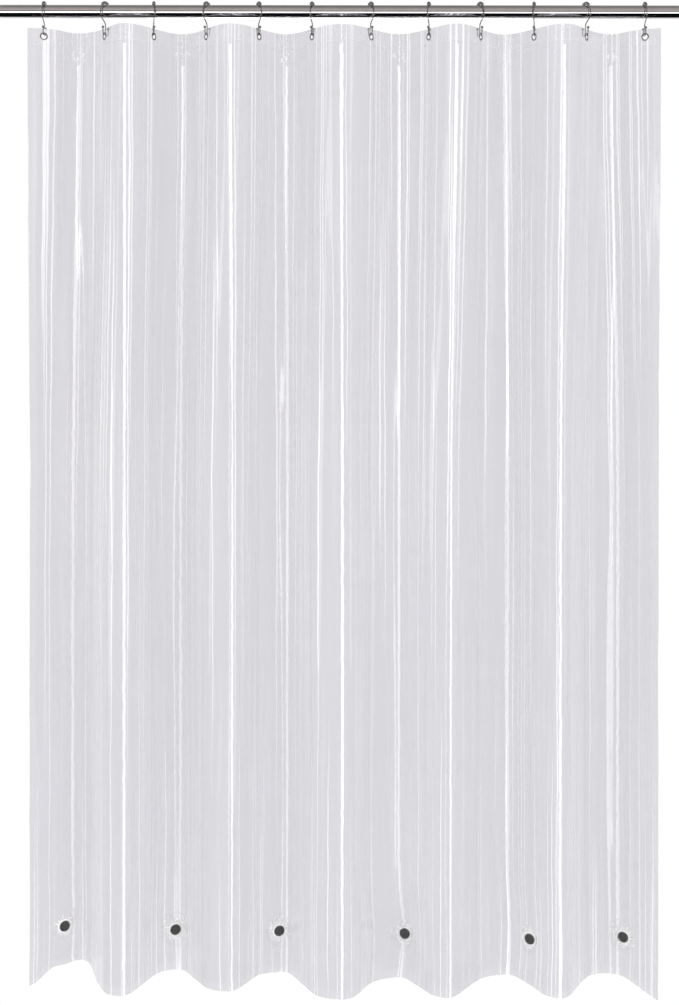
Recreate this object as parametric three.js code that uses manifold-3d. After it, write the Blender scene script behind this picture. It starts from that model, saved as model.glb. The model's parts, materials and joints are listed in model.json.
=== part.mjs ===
// Clear shower curtain liner on its rod.
//
// A tube rod carries twelve roller hooks. Each hook's J passes through a grommet in
// the top edge of one clear film, which hangs in deep vertical folds. Six disc magnets
// sit in welded pockets above the bottom hem.
//
// Millimetres. X runs along the rod, the front of the curtain faces -Y, and Z is up.
// The origin is on the rod's axis, at the middle of its length.
//
// The film is divided at its fold crests into rigid panels. Each crest is a vertical
// hinge, and each hook turns on the vertical line through its own grommet.

import * as THREE from 'three';
import { mergeVertices } from 'three/addons/utils/BufferGeometryUtils.js';
import Module from 'manifold-3d';

const wasm = await Module();
wasm.setup();

// ---------------------------------------------------------------- driving dimensions

const FIT_GAP = 0.3; // clearance between pieces that touch on the real object
const ROD_SEAT = 0.5; // beads to the rod, which lets a turned hook swing

const ROD_RADIUS = 12.7;
const ROD_WALL = 1.0;
const ROD_LENGTH = 1306;

const FILM_WIDTH = 1829; // laid flat
const FILM_HEIGHT = 1829;
const FILM_THICKNESS = 0.3;
const SIDE_MARGIN = 31; // film edge to the first and last grommet
const TOP_MARGIN = 14.5; // film edge down to the grommet centres
const HINGE_GAP = 0.7; // between two panels at a fold crest
const CURTAIN_SHIFT = 9; // middle of the hung curtain from the middle of the rod
const HOOK_SPACING = [116, 95, 100, 102, 101, 114, 110, 100, 102, 101, 112];
const LEFT_END_TILT = 20; // degrees that the film turns at the first grommet
const RIGHT_END_TILT = 28; // and at the last one

const WIRE_RADIUS = 1.0;
const ARCH_SLACK = 10.3; // arch radius beyond the rod's radius
const ARCH_REAR_ANGLE = 78; // degrees from the crown to the arch's rear end
const SWOOP_DROP = 16.3; // rod surface down to the top of the stem
const STEM_LENGTH = 11;
const J_RADIUS = 6;
const TIP_RISE = 8.5; // J centre up to the ball on the tip
const TIP_BALL_RADIUS = 2.2;
const HOOK_TURN = [0, -16, 10, -16, 16, -10, 16, -10, 16, -10, 16, 0]; // degrees about Z

const BEAD_RADIUS = 3.4;
const BEAD_COUNT = 5;
const BEAD_PITCH = 6.7;
const BEAD_NECK_RADIUS = 2.0;

const GROMMET_HOLE_RADIUS = 5.0;
const GROMMET_OUTER_RADIUS = 7.4;
const GROMMET_BARREL_WALL = 0.6;
const GROMMET_FLANGE = 0.35;
const HANG_GAP = 1.4; // wire to the top of the hole, so that the wire can turn

const MAGNET_RADIUS = 10;
const MAGNET_THICKNESS = 2.4;
const MAGNET_CHAMFER = 0.4;
const MAGNET_HEIGHT = 80; // above the bottom hem
const MAGNET_TURN = 0.5; // share of the film's own slope that a magnet lies at
const MAGNETS = [
  { crest: 0, offset: -24, rise: 18 },
  { crest: 2, offset: -14, rise: 2 },
  { crest: 4, offset: -14, rise: 0 },
  { crest: 6, offset: 14, rise: -4 },
  { crest: 8, offset: 48, rise: 5 },
  { crest: 10, offset: 24, rise: -3 },
]; // the crest that each magnet hangs beside, its distance along X from it, and its
// height against the row

// Facet counts
const ROD_SIDES = 24;
const WIRE_SIDES = 5;
const WIRE_STEPS = 32;
const REAR_J_STEPS = 8;
const BALL_SIDES = 6;
const BALL_RINGS = 4;
const BEAD_SIDES = 6;
const GROMMET_SIDES = 12;
const MAGNET_SIDES = 16;
const ARM_STEPS = 8;
const FILM_SAMPLES = 400; // places along a panel where a magnet's seat is measured

// ---------------------------------------------------------------- derived places

const HOOK_COUNT = HOOK_SPACING.length + 1;
const crownZ = ROD_RADIUS + ROD_SEAT + BEAD_RADIUS;
const archRadius = ROD_RADIUS + ARCH_SLACK;
const archZ = crownZ - archRadius;
const stemTopZ = -(ROD_RADIUS + SWOOP_DROP);
const jCentreZ = stemTopZ - STEM_LENGTH;
const jBottomZ = jCentreZ - J_RADIUS;
const grommetZ = jBottomZ - (GROMMET_HOLE_RADIUS - WIRE_RADIUS - HANG_GAP);
const grommetY = -J_RADIUS;
const filmTopZ = grommetZ + TOP_MARGIN;
const filmBottomZ = filmTopZ - FILM_HEIGHT;
const armLength = (FILM_WIDTH - 2 * SIDE_MARGIN) / (HOOK_COUNT - 1) / 2;
const flatReach = GROMMET_OUTER_RADIUS + FIT_GAP; // the film is flat around a grommet

const radians = THREE.MathUtils.degToRad;

// X of each hook, from the spacings
const hungWidth = HOOK_SPACING.reduce((sum, step) => sum + step, 0);
const hookX = [CURTAIN_SHIFT - hungWidth / 2];
for (const step of HOOK_SPACING) {
  hookX.push(hookX[hookX.length - 1] + step);
}

// ---------------------------------------------------------------- materials

const chrome = () =>
  new THREE.MeshStandardMaterial({ color: 0xc8c8cc, metalness: 1, roughness: 0.12 });
const clearFilm = () =>
  new THREE.MeshStandardMaterial({
    color: 0xdcdce1,
    metalness: 0,
    roughness: 0.15,
    transparent: true,
    opacity: 0.5,
    side: THREE.DoubleSide,
  });
const magnetGrey = () =>
  new THREE.MeshStandardMaterial({ color: 0x3c3c3e, metalness: 0.2, roughness: 0.6 });

// ---------------------------------------------------------------- solids and meshes

// A closed three.js geometry as a solid that can be cut and joined.
function toSolid(geometry) {
  const bare = geometry.index ? geometry.toNonIndexed() : geometry.clone();
  bare.deleteAttribute('normal');
  bare.deleteAttribute('uv');
  const merged = mergeVertices(bare, 1e-4);
  return new wasm.Manifold(
    new wasm.Mesh({
      numProp: 3,
      vertProperties: new Float32Array(merged.attributes.position.array),
      triVerts: new Uint32Array(merged.index.array),
    }),
  );
}

// A solid back as a three.js geometry.
function toGeometry(solid) {
  const mesh = solid.getMesh();
  const geometry = new THREE.BufferGeometry();
  geometry.setAttribute('position', new THREE.BufferAttribute(mesh.vertProperties, 3));
  geometry.setIndex(new THREE.BufferAttribute(mesh.triVerts, 1));
  geometry.computeVertexNormals();
  return geometry;
}

function named(name, geometry, material) {
  const mesh = new THREE.Mesh(geometry, material);
  mesh.name = name;
  return mesh;
}

const numbered = (stem, index) => `${stem}_${String(index + 1).padStart(2, '0')}`;

// A turned ring or disc on the Z axis, from its section as [radius, height] pairs.
function turned(section, sides) {
  const points = section.map(([radius, height]) => new THREE.Vector2(radius, height));
  return new THREE.LatheGeometry(points, sides).rotateX(Math.PI / 2);
}

// ---------------------------------------------------------------- the film's plan

// A quarter of a sine wave is very nearly this cubic. HANDLE_HOOK is its handle at the
// point of inflection and HANDLE_CREST the one at the crest, as shares of the wave.
const HANDLE_HOOK = 0.5123;
const HANDLE_CREST = 0.5685;

// One arm of film in plan, from the flat around a grommet to a crest that lies half a
// spacing along X and `depth` along Y. `tilt` is the film's direction at the grommet.
function arm(depth, spacing, tilt) {
  const wave = spacing / Math.PI;
  const along = new THREE.Vector2(Math.cos(tilt), Math.sin(tilt));
  return new THREE.CubicBezierCurve(
    along.clone().multiplyScalar(flatReach),
    along.clone().multiplyScalar(HANDLE_HOOK * Math.hypot(wave, depth)),
    new THREE.Vector2(spacing / 2 - HANDLE_CREST * wave, depth),
    new THREE.Vector2(spacing / 2, depth),
  );
}

const waveTilt = (depth, spacing) => Math.atan2(depth * Math.PI, spacing);

// The fold depth that takes up the arm's full length of film in half a spacing.
function foldDepth(spacing) {
  let low = 0;
  let high = armLength;
  for (let pass = 0; pass < 40; pass += 1) {
    const depth = (low + high) / 2;
    const length = arm(depth, spacing, waveTilt(depth, spacing)).getLength();
    if (flatReach + length < armLength) {
      low = depth;
    } else {
      high = depth;
    }
  }
  return (low + high) / 2;
}

const depths = HOOK_SPACING.map(foldDepth);

// The film's direction in plan at a grommet, as a slope that is positive on every panel.
function slopeAtHook(index) {
  if (index === 0) {
    return radians(LEFT_END_TILT);
  }
  if (index === HOOK_COUNT - 1) {
    return radians(RIGHT_END_TILT);
  }
  const before = waveTilt(depths[index - 1], HOOK_SPACING[index - 1]);
  const after = waveTilt(depths[index], HOOK_SPACING[index]);
  return (before + after) / 2;
}

// Panels alternate: the first runs towards the back crest, the next towards the front.
const panelSign = (index) => (index % 2 === 0 ? 1 : -1);
const filmAngle = (index) => panelSign(index) * slopeAtHook(index);

// Points of a curve in plan from the grommet outwards, trimmed short by `trim`.
function armPoints(curve, steps, trim) {
  const share = 1 - trim / curve.getLength();
  const points = [];
  for (let step = 0; step <= steps; step += 1) {
    points.push(curve.getPointAt((share * step) / steps));
  }
  return points;
}

// The panel's centre line in plan around its grommet, from its left end to its right.
function panelLine(index) {
  const sign = panelSign(index);
  const slope = slopeAtHook(index);
  const edge = [new THREE.Vector2(SIDE_MARGIN * Math.cos(slope), SIDE_MARGIN * Math.sin(slope))];
  const arms = [index - 1, index].map((crest) => {
    if (crest < 0 || crest >= depths.length) {
      return edge;
    }
    const curve = arm(depths[crest], HOOK_SPACING[crest], slope);
    return armPoints(curve, ARM_STEPS, HINGE_GAP / 2);
  });
  const left = arms[0].map((point) => new THREE.Vector2(-point.x, -sign * point.y)).reverse();
  const right = arms[1].map((point) => new THREE.Vector2(point.x, sign * point.y));
  return [...left, ...right];
}

// The line thickened to both sides, as a closed outline.
function thickened(line, thickness) {
  const sides = [[], []];
  line.forEach((point, at) => {
    const before = line[Math.max(at - 1, 0)];
    const after = line[Math.min(at + 1, line.length - 1)];
    const normal = new THREE.Vector2(before.y - after.y, after.x - before.x).normalize();
    sides[0].push(point.clone().addScaledVector(normal, -thickness / 2));
    sides[1].unshift(point.clone().addScaledVector(normal, thickness / 2));
  });
  return new THREE.Shape([...sides[0], ...sides[1]]);
}

// ---------------------------------------------------------------- sub-parts

function makeRod() {
  const inner = ROD_RADIUS - ROD_WALL;
  const half = ROD_LENGTH / 2;
  const section = [
    [inner, -half],
    [ROD_RADIUS, -half],
    [ROD_RADIUS, half],
    [inner, half],
    [inner, -half],
  ];
  const geometry = turned(section, ROD_SIDES).rotateY(Math.PI / 2);
  return named('rod', geometry, chrome());
}

function makePanel(index) {
  const outline = thickened(panelLine(index), FILM_THICKNESS);
  const sheet = new THREE.ExtrudeGeometry(outline, { depth: FILM_HEIGHT, bevelEnabled: false });
  sheet.translate(0, 0, filmBottomZ);
  const holeRadius = GROMMET_HOLE_RADIUS + GROMMET_BARREL_WALL + FIT_GAP;
  const punch = new THREE.CylinderGeometry(holeRadius, holeRadius, J_RADIUS, GROMMET_SIDES);
  punch.rotateZ(filmAngle(index)).translate(0, 0, grommetZ);
  const geometry = toGeometry(toSolid(sheet).subtract(toSolid(punch)));
  const mesh = named(numbered('film_panel', index), geometry, clearFilm());
  mesh.position.set(hookX[index], grommetY, 0);
  return mesh;
}

function makeGrommet(index) {
  const barrel = GROMMET_HOLE_RADIUS + GROMMET_BARREL_WALL;
  const inside = FILM_THICKNESS / 2 + FIT_GAP;
  const face = inside + GROMMET_FLANGE;
  const section = [
    [GROMMET_HOLE_RADIUS, -face],
    [GROMMET_OUTER_RADIUS, -face],
    [GROMMET_OUTER_RADIUS, -inside],
    [barrel, -inside],
    [barrel, inside],
    [GROMMET_OUTER_RADIUS, inside],
    [GROMMET_OUTER_RADIUS, face],
    [GROMMET_HOLE_RADIUS, face],
    [GROMMET_HOLE_RADIUS, -face],
  ];
  const geometry = turned(section, GROMMET_SIDES).rotateX(Math.PI / 2);
  const mesh = named(numbered('grommet', index), geometry, chrome());
  mesh.position.set(hookX[index], grommetY, grommetZ);
  mesh.rotation.z = filmAngle(index);
  return mesh;
}

// A wire along a path drawn in the hook's own plane, Y by Z.
function wireAlong(path, steps) {
  const points = path.getSpacedPoints(steps).map((p) => new THREE.Vector3(0, p.x, p.y));
  const circle = [];
  for (let side = 0; side < WIRE_SIDES; side += 1) {
    const turn = (2 * Math.PI * side) / WIRE_SIDES;
    circle.push(new THREE.Vector2(WIRE_RADIUS * Math.cos(turn), WIRE_RADIUS * Math.sin(turn)));
  }
  const extrudePath = new THREE.CatmullRomCurve3(points, false, 'centripetal');
  const section = new THREE.Shape(circle);
  return new THREE.ExtrudeGeometry(section, { steps, bevelEnabled: false, extrudePath });
}

// The arch over the rod, the run down its front and under it, the stem and the front J.
function mainWirePath() {
  const path = new THREE.Path();
  const rear = Math.PI / 2 - radians(ARCH_REAR_ANGLE);
  path.absarc(0, archZ, archRadius, rear, Math.PI, false);
  const swoopZ = (archZ + stemTopZ) / 2;
  path.bezierCurveTo(-archRadius, swoopZ, 0, swoopZ, 0, stemTopZ);
  path.lineTo(0, jCentreZ);
  path.absarc(-J_RADIUS, jCentreZ, J_RADIUS, 0, Math.PI, true);
  path.lineTo(-2 * J_RADIUS, jCentreZ + TIP_RISE);
  return path;
}

// The rear J branches from the foot of the stem.
function rearWirePath() {
  const path = new THREE.Path();
  path.absarc(J_RADIUS, jCentreZ, J_RADIUS, Math.PI, 2 * Math.PI, false);
  path.lineTo(2 * J_RADIUS, jCentreZ + TIP_RISE);
  return path;
}

function makeHookGeometry() {
  let solid = toSolid(wireAlong(mainWirePath(), WIRE_STEPS));
  solid = solid.add(toSolid(wireAlong(rearWirePath(), REAR_J_STEPS)));
  for (const side of [-1, 1]) {
    const ball = new THREE.SphereGeometry(TIP_BALL_RADIUS, BALL_SIDES, BALL_RINGS);
    ball.rotateX(Math.PI / 2).translate(0, 2 * side * J_RADIUS, jCentreZ + TIP_RISE);
    solid = solid.add(toSolid(ball));
  }
  return toGeometry(solid);
}

// A string of beads with the wire's bore through it, straight along Y and then bent
// over the rod along the arch.
function makeBeadGeometry() {
  const half = (BEAD_COUNT * BEAD_PITCH) / 2;
  const shoulder = 0.27 * BEAD_PITCH;
  const bore = WIRE_RADIUS + FIT_GAP;
  const section = [];
  for (let bead = 0; bead < BEAD_COUNT; bead += 1) {
    const start = bead * BEAD_PITCH - half;
    section.push([BEAD_NECK_RADIUS, start]);
    section.push([BEAD_RADIUS, start + shoulder]);
    section.push([BEAD_RADIUS, start + BEAD_PITCH - shoulder]);
  }
  section.push([BEAD_NECK_RADIUS, half]);
  for (let bead = 2 * BEAD_COUNT; bead >= 0; bead -= 1) {
    section.push([bore, (bead * BEAD_PITCH) / 2 - half]);
  }
  section.push([BEAD_NECK_RADIUS, -half]);
  const geometry = turned(section, BEAD_SIDES).rotateX(-Math.PI / 2);
  const position = geometry.attributes.position;
  for (let at = 0; at < position.count; at += 1) {
    const angle = position.getY(at) / archRadius;
    const radius = archRadius + position.getZ(at);
    position.setY(at, radius * Math.sin(angle));
    position.setZ(at, archZ + radius * Math.cos(angle));
  }
  return geometry;
}

// Hooks and bead strings turn about the vertical line through their grommet.
function placedOnGrommet(name, geometry, index) {
  const mesh = named(name, geometry, chrome());
  mesh.position.set(0, J_RADIUS, 0);
  const pivot = new THREE.Group();
  pivot.add(mesh);
  pivot.position.set(hookX[index], grommetY, 0);
  pivot.rotation.z = radians(HOOK_TURN[index]);
  return pivot;
}

// A magnet touches the front of the film beside a back crest. Its welded pocket turns it
// part of the way back towards the front of the curtain.
function makeMagnet(magnet, index) {
  const panel = magnet.crest + (magnet.offset > 0 ? 1 : 0);
  const crestX = (magnet.offset > 0 ? -0.5 : 0.5) * HOOK_SPACING[magnet.crest];
  const film = new THREE.Path(panelLine(panel)).getSpacedPoints(FILM_SAMPLES);
  const at = film.findIndex((point) => point.x >= crestX + magnet.offset);
  const slope = film[at + 1].clone().sub(film[at - 1]);
  const turn = MAGNET_TURN * Math.atan2(slope.y, slope.x);
  const across = new THREE.Vector2(Math.cos(turn), Math.sin(turn));
  const front = new THREE.Vector2(Math.sin(turn), -Math.cos(turn));
  const offsets = film.map((point) => point.clone().sub(film[at]));
  const faced = offsets.filter((offset) => Math.abs(offset.dot(across)) < MAGNET_RADIUS + FIT_GAP);
  const bulge = Math.max(...faced.map((offset) => offset.dot(front)));
  const lift = bulge + FILM_THICKNESS / 2 + FIT_GAP + MAGNET_THICKNESS / 2;
  const centre = film[at].clone().addScaledVector(front, lift);
  const half = MAGNET_THICKNESS / 2;
  const flat = MAGNET_RADIUS - MAGNET_CHAMFER;
  const section = [
    [0, -half],
    [flat, -half],
    [MAGNET_RADIUS, -half + MAGNET_CHAMFER],
    [MAGNET_RADIUS, half - MAGNET_CHAMFER],
    [flat, half],
    [0, half],
  ];
  const geometry = turned(section, MAGNET_SIDES).rotateX(Math.PI / 2);
  const mesh = named(numbered('magnet', index), geometry, magnetGrey());
  const z = filmBottomZ + MAGNET_HEIGHT + magnet.rise;
  mesh.position.set(hookX[panel] + centre.x, grommetY + centre.y, z);
  mesh.rotation.z = turn;
  return mesh;
}

// ---------------------------------------------------------------- assembly

const curtain = new THREE.Group();
curtain.add(makeRod());
const hookGeometry = makeHookGeometry();
const beadGeometry = makeBeadGeometry();
for (let index = 0; index < HOOK_COUNT; index += 1) {
  curtain.add(makePanel(index));
  curtain.add(makeGrommet(index));
  curtain.add(placedOnGrommet(numbered('hook', index), hookGeometry, index));
  curtain.add(placedOnGrommet(numbered('rollers', index), beadGeometry, index));
}
MAGNETS.forEach((magnet, index) => curtain.add(makeMagnet(magnet, index)));

export default curtain;
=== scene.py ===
import json  # noqa: E402
import math  # noqa: E402

import bmesh  # noqa: E402
import bpy  # noqa: E402
import numpy as np  # noqa: E402
from bpy.props import FloatProperty, FloatVectorProperty, IntProperty, PointerProperty  # noqa: E402
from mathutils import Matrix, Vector  # noqa: E402

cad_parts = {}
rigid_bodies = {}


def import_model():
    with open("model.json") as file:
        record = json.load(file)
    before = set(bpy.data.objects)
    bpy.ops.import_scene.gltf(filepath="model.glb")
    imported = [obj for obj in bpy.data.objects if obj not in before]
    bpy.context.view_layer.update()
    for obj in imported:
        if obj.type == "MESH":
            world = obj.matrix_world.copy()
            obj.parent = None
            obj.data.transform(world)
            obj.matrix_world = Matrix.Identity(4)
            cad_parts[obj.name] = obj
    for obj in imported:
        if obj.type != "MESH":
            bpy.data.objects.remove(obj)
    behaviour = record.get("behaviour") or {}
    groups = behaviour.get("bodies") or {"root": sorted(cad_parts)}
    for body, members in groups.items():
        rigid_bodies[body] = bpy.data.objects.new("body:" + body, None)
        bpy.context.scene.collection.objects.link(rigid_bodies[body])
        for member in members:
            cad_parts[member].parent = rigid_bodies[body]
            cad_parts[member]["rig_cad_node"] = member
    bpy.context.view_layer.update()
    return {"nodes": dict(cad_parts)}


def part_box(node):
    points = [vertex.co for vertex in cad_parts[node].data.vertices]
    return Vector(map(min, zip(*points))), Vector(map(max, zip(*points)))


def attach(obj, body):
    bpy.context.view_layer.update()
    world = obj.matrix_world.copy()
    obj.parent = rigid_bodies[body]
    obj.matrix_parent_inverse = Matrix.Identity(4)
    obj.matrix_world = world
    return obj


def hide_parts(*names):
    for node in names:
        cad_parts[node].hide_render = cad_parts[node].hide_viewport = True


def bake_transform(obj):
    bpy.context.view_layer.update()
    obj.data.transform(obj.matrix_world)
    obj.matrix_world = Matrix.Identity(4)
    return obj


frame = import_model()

bl_info = {
    "name": "Hook-hung clear shower curtain",
    "version": (1, 0, 0),
    "blender": (4, 5, 0),
    "location": "3D View > Sidebar > Curtain",
    "description": "Builds a clear curtain film, its magnets, roller hooks and rod",
    "category": "Object",
}

MM = 0.001


# ---------------------------------------------------------------- places from the frame


def numbered(stem, number):
    return f"{stem}_{number:02d}"


def box_of(node):
    low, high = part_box(node)
    return np.array(low), np.array(high)


def centre_of(node):
    low, high = box_of(node)
    return (low + high) / 2


def count_of(stem):
    return sum(1 for name in frame["nodes"] if name.startswith(stem + "_"))


HOOK_COUNT = count_of("hook")
MAGNET_COUNT = count_of("magnet")
GROMMETS = [centre_of(numbered("grommet", k + 1)) for k in range(HOOK_COUNT)]
PANELS = [box_of(numbered("film_panel", k + 1)) for k in range(HOOK_COUNT)]
ROD_LOW, ROD_HIGH = box_of("rod")
FILM_TOP = PANELS[0][1][2]
FILM_BOTTOM = PANELS[0][0][2]
FILM_DROP = FILM_TOP - FILM_BOTTOM


def find_crests():
    """The fold crests between the film panels, back crests (+Y) and front ones in turn."""
    crests = []
    for k in range(HOOK_COUNT - 1):
        (low_a, high_a), (low_b, high_b) = PANELS[k], PANELS[k + 1]
        x = (high_a[0] + low_b[0]) / 2
        y = (high_a[1] + high_b[1]) / 2 if k % 2 == 0 else (low_a[1] + low_b[1]) / 2
        crests.append((x, y))
    return crests


CRESTS = find_crests()


def body_of_node(node):
    return frame["nodes"][node].parent.name.replace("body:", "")


def thin_axis(node):
    """The unit normal of a flat round node, turned to face the front."""
    vertices = frame["nodes"][node].data.vertices
    points = np.array([v.co for v in vertices], float).reshape(-1, 3)
    axis = np.linalg.svd(points - points.mean(0), full_matrices=False)[2][2]
    axis[2] = 0.0
    axis /= np.linalg.norm(axis)
    return axis if axis[1] < 0 else -axis


# ---------------------------------------------------------------- sizes and colours


def length(name, description, default):
    return FloatProperty(
        name=name, description=description, default=default, unit="LENGTH", subtype="DISTANCE"
    )


def tint(name, description, default):
    return FloatVectorProperty(
        name=name, description=description, default=default, size=3, subtype="COLOR", min=0, max=1
    )


class CurtainSizes(bpy.types.PropertyGroup):
    film_width: length("Film width", "Flat width of the film", 1829 * MM)
    film_thickness: length("Film thickness", "Drawn thickness of one layer", 0.3 * MM)
    side_margin: length("Side margin", "From the side edge to the first eyelet", 31 * MM)
    header: length("Header band", "Height of the doubled band at the top", 30 * MM)
    hem: length("Hem width", "Width of the doubled side and bottom hems", 15 * MM)
    settle: length("Fold settle", "Drop over which the folds take their hem shape", 900 * MM)
    crest_width: length("Crest width", "Half the width that bends between panels", 9 * MM)
    rod_radius: length("Rod radius", "Outside radius of the rod", 12.7 * MM)
    rod_wall: length("Rod wall", "Wall of the rod's tube", 1.0 * MM)
    wire_radius: length("Wire radius", "Radius of the hook wire", 1.0 * MM)
    arch_radius: length("Arch radius", "Radius of the hook's arch over the rod", 23 * MM)
    tip_radius: length("Tip ball radius", "Radius of the balls on the hook tips", 2.7 * MM)
    bead_radius: length("Roller radius", "Radius of a roller bead", 3.1 * MM)
    bead_pitch: length("Roller pitch", "From one roller bead to the next", 6.7 * MM)
    bead_count: IntProperty(name="Rollers", description="Beads on a hook", default=5, min=1)
    eyelet_hole: length("Eyelet hole", "Radius of the hole in an eyelet", 5.0 * MM)
    eyelet_outer: length("Eyelet outside", "Outside radius of an eyelet", 7.4 * MM)
    magnet_radius: length("Magnet radius", "Radius of a hem magnet", 10 * MM)
    magnet_thickness: length("Magnet thickness", "Thickness of a hem magnet", 2.4 * MM)
    pocket_radius: length("Pocket radius", "Radius of the weld round a magnet", 32.5 * MM)


class CurtainColours(bpy.types.PropertyGroup):
    film_clear: tint("Clear film", "Body colour of the film", (0.515, 0.50, 0.585))
    # Milky white of the doubled bands and the pocket haze, and of the painted highlights down the
    # crests
    milky_and_highlight_white: tint("Milky film", "Colour of its creases and doubled bands", (0.97, 0.965, 0.98))
    chrome_rod: tint("Rod chrome", "Chrome of the rod", (0.80, 0.79, 0.78))
    chrome_hook: tint("Hook chrome", "Chrome of the hooks and rollers", (0.30, 0.295, 0.295))
    eyelet: tint("Eyelet metal", "Nickel of the eyelets", (0.30, 0.295, 0.29))
    magnet: tint("Magnet", "Grey of the magnets", (0.016, 0.016, 0.017))
    weld: tint("Weld specks", "Cream of the pressed welds", (0.98, 0.97, 0.94))
    floor: tint("Floor", "Colour of the studio floor", (1.0, 1.0, 1.0))


def sizes():
    return bpy.context.scene.curtain_sizes


def colours():
    return bpy.context.scene.curtain_colours


# ---------------------------------------------------------------- mesh and node helpers


def new_object(name, mesh):
    made = bpy.data.objects.new(name, mesh)
    bpy.context.scene.collection.objects.link(made)
    return made


def mesh_object(name, points, faces, material, smooth_below=35.0):
    """A mesh object at the origin, smooth except where its faces meet sharply."""
    mesh = bpy.data.meshes.new(name)
    mesh.from_pydata(np.asarray(points, float).tolist(), [], [tuple(f) for f in faces])
    mesh.update()
    mesh.shade_smooth()
    mesh.set_sharp_from_angle(angle=math.radians(smooth_below))
    if material is not None:
        mesh.materials.append(material)
    return new_object(name, mesh)


def set_attribute(made, name, values):
    attribute = made.data.attributes.new(name, "FLOAT", "POINT")
    attribute.data.foreach_set("value", np.asarray(values, np.float32).ravel())


def set_map(made, name, coordinates):
    """A UV map from one (u, v) pair for each vertex."""
    layer = made.data.uv_layers.new(name=name)
    corners = np.zeros(len(made.data.loops), np.int32)
    made.data.loops.foreach_get("vertex_index", corners)
    layer.data.foreach_set("uv", np.asarray(coordinates, np.float32)[corners].ravel())


def node(tree, kind, inputs=None, **settings):
    """A node with its settings and its inputs, each a value or another node's socket."""
    made = tree.nodes.new(kind)
    for key, value in settings.items():
        setattr(made, key, value)
    for key, value in (inputs or {}).items():
        socket = made.inputs[key]
        if isinstance(value, bpy.types.NodeSocket):
            tree.links.new(value, socket)
        else:
            socket.default_value = value
    return made


def ramp(tree, factor, stops):
    """A colour ramp with (position, colour) stops."""
    made = node(tree, "ShaderNodeValToRGB", {"Fac": factor})
    elements = made.color_ramp.elements
    while len(elements) < len(stops):
        elements.new(0.5)
    for element, (position, colour) in zip(elements, stops):
        element.position = position
        element.color = (*colour, 1.0)
    return made.outputs["Color"]


def spread(tree, value, low, high, start=0.0, end=1.0):
    """value mapped from start..end onto low..high."""
    inputs = {"Value": value, "From Min": start, "From Max": end, "To Min": low, "To Max": high}
    return node(tree, "ShaderNodeMapRange", inputs).outputs["Result"]


def maths(tree, operation, a, b):
    return node(tree, "ShaderNodeMath", {0: a, 1: b}, operation=operation).outputs[0]


def magnitude(tree, value):
    return node(tree, "ShaderNodeMath", {0: value}, operation="ABSOLUTE").outputs[0]


def attribute_value(tree, name):
    return node(tree, "ShaderNodeAttribute", attribute_name=name).outputs["Fac"]


def vector_of(tree, **parts):
    return node(tree, "ShaderNodeCombineXYZ", parts).outputs[0]


def mixed(tree, factor, first, second):
    """Two colours mixed. A Mix node's colour sockets come after its float and vector ones."""
    inputs = {"Factor": factor, 6: first, 7: second}
    return node(tree, "ShaderNodeMix", inputs, data_type="RGBA", clamp_factor=True).outputs[2]


def noise(tree, vector, scale, detail=2.0, roughness=0.5):
    inputs = {"Vector": vector, "Scale": scale, "Detail": detail, "Roughness": roughness}
    return node(tree, "ShaderNodeTexNoise", inputs).outputs["Fac"]


def stretched(tree, vector, scale, location=(0, 0, 0)):
    inputs = {"Vector": vector, "Scale": scale, "Location": location}
    return node(tree, "ShaderNodeMapping", inputs).outputs["Vector"]


def new_material(name):
    made = bpy.data.materials.new(name)
    made.use_nodes = True
    tree = made.node_tree
    tree.nodes.clear()
    shader = node(tree, "ShaderNodeBsdfPrincipled")
    node(tree, "ShaderNodeOutputMaterial", {"Surface": shader.outputs["BSDF"]})
    return made, tree, shader


def connect(tree, shader, **sockets):
    for key, value in sockets.items():
        socket = shader.inputs[key.replace("_", " ")]
        if isinstance(value, bpy.types.NodeSocket):
            tree.links.new(value, socket)
        else:
            socket.default_value = value


def object_coordinates(tree):
    return node(tree, "ShaderNodeTexCoord").outputs["Object"]


def bumped(tree, height, strength, distance):
    inputs = {"Height": height, "Strength": strength, "Distance": distance}
    return node(tree, "ShaderNodeBump", inputs).outputs["Normal"]


# ---------------------------------------------------------------- materials


def chrome(name, colour, grain, roughness, worn):
    """Bright plating: fine drawn scratches along grain, with patches that are duller."""
    made, tree, shader = new_material(name)
    place = object_coordinates(tree)
    scratches = noise(tree, stretched(tree, place, grain), 1.0, 3.0, 0.7)
    dull = noise(tree, place, 55.0, 4.0, 0.6)
    base = ramp(tree, dull, [(0.35, colour), (0.7, [part * 0.92 for part in colour])])
    finish = maths(
        tree,
        "ADD",
        spread(tree, dull, roughness, worn, 0.45, 0.75),
        spread(tree, scratches, 0.0, 0.012),
    )
    connect(
        tree,
        shader,
        Base_Color=base,
        Metallic=1.0,
        Roughness=finish,
        Normal=bumped(tree, scratches, 0.012, 0.0002),
    )
    return made


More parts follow.
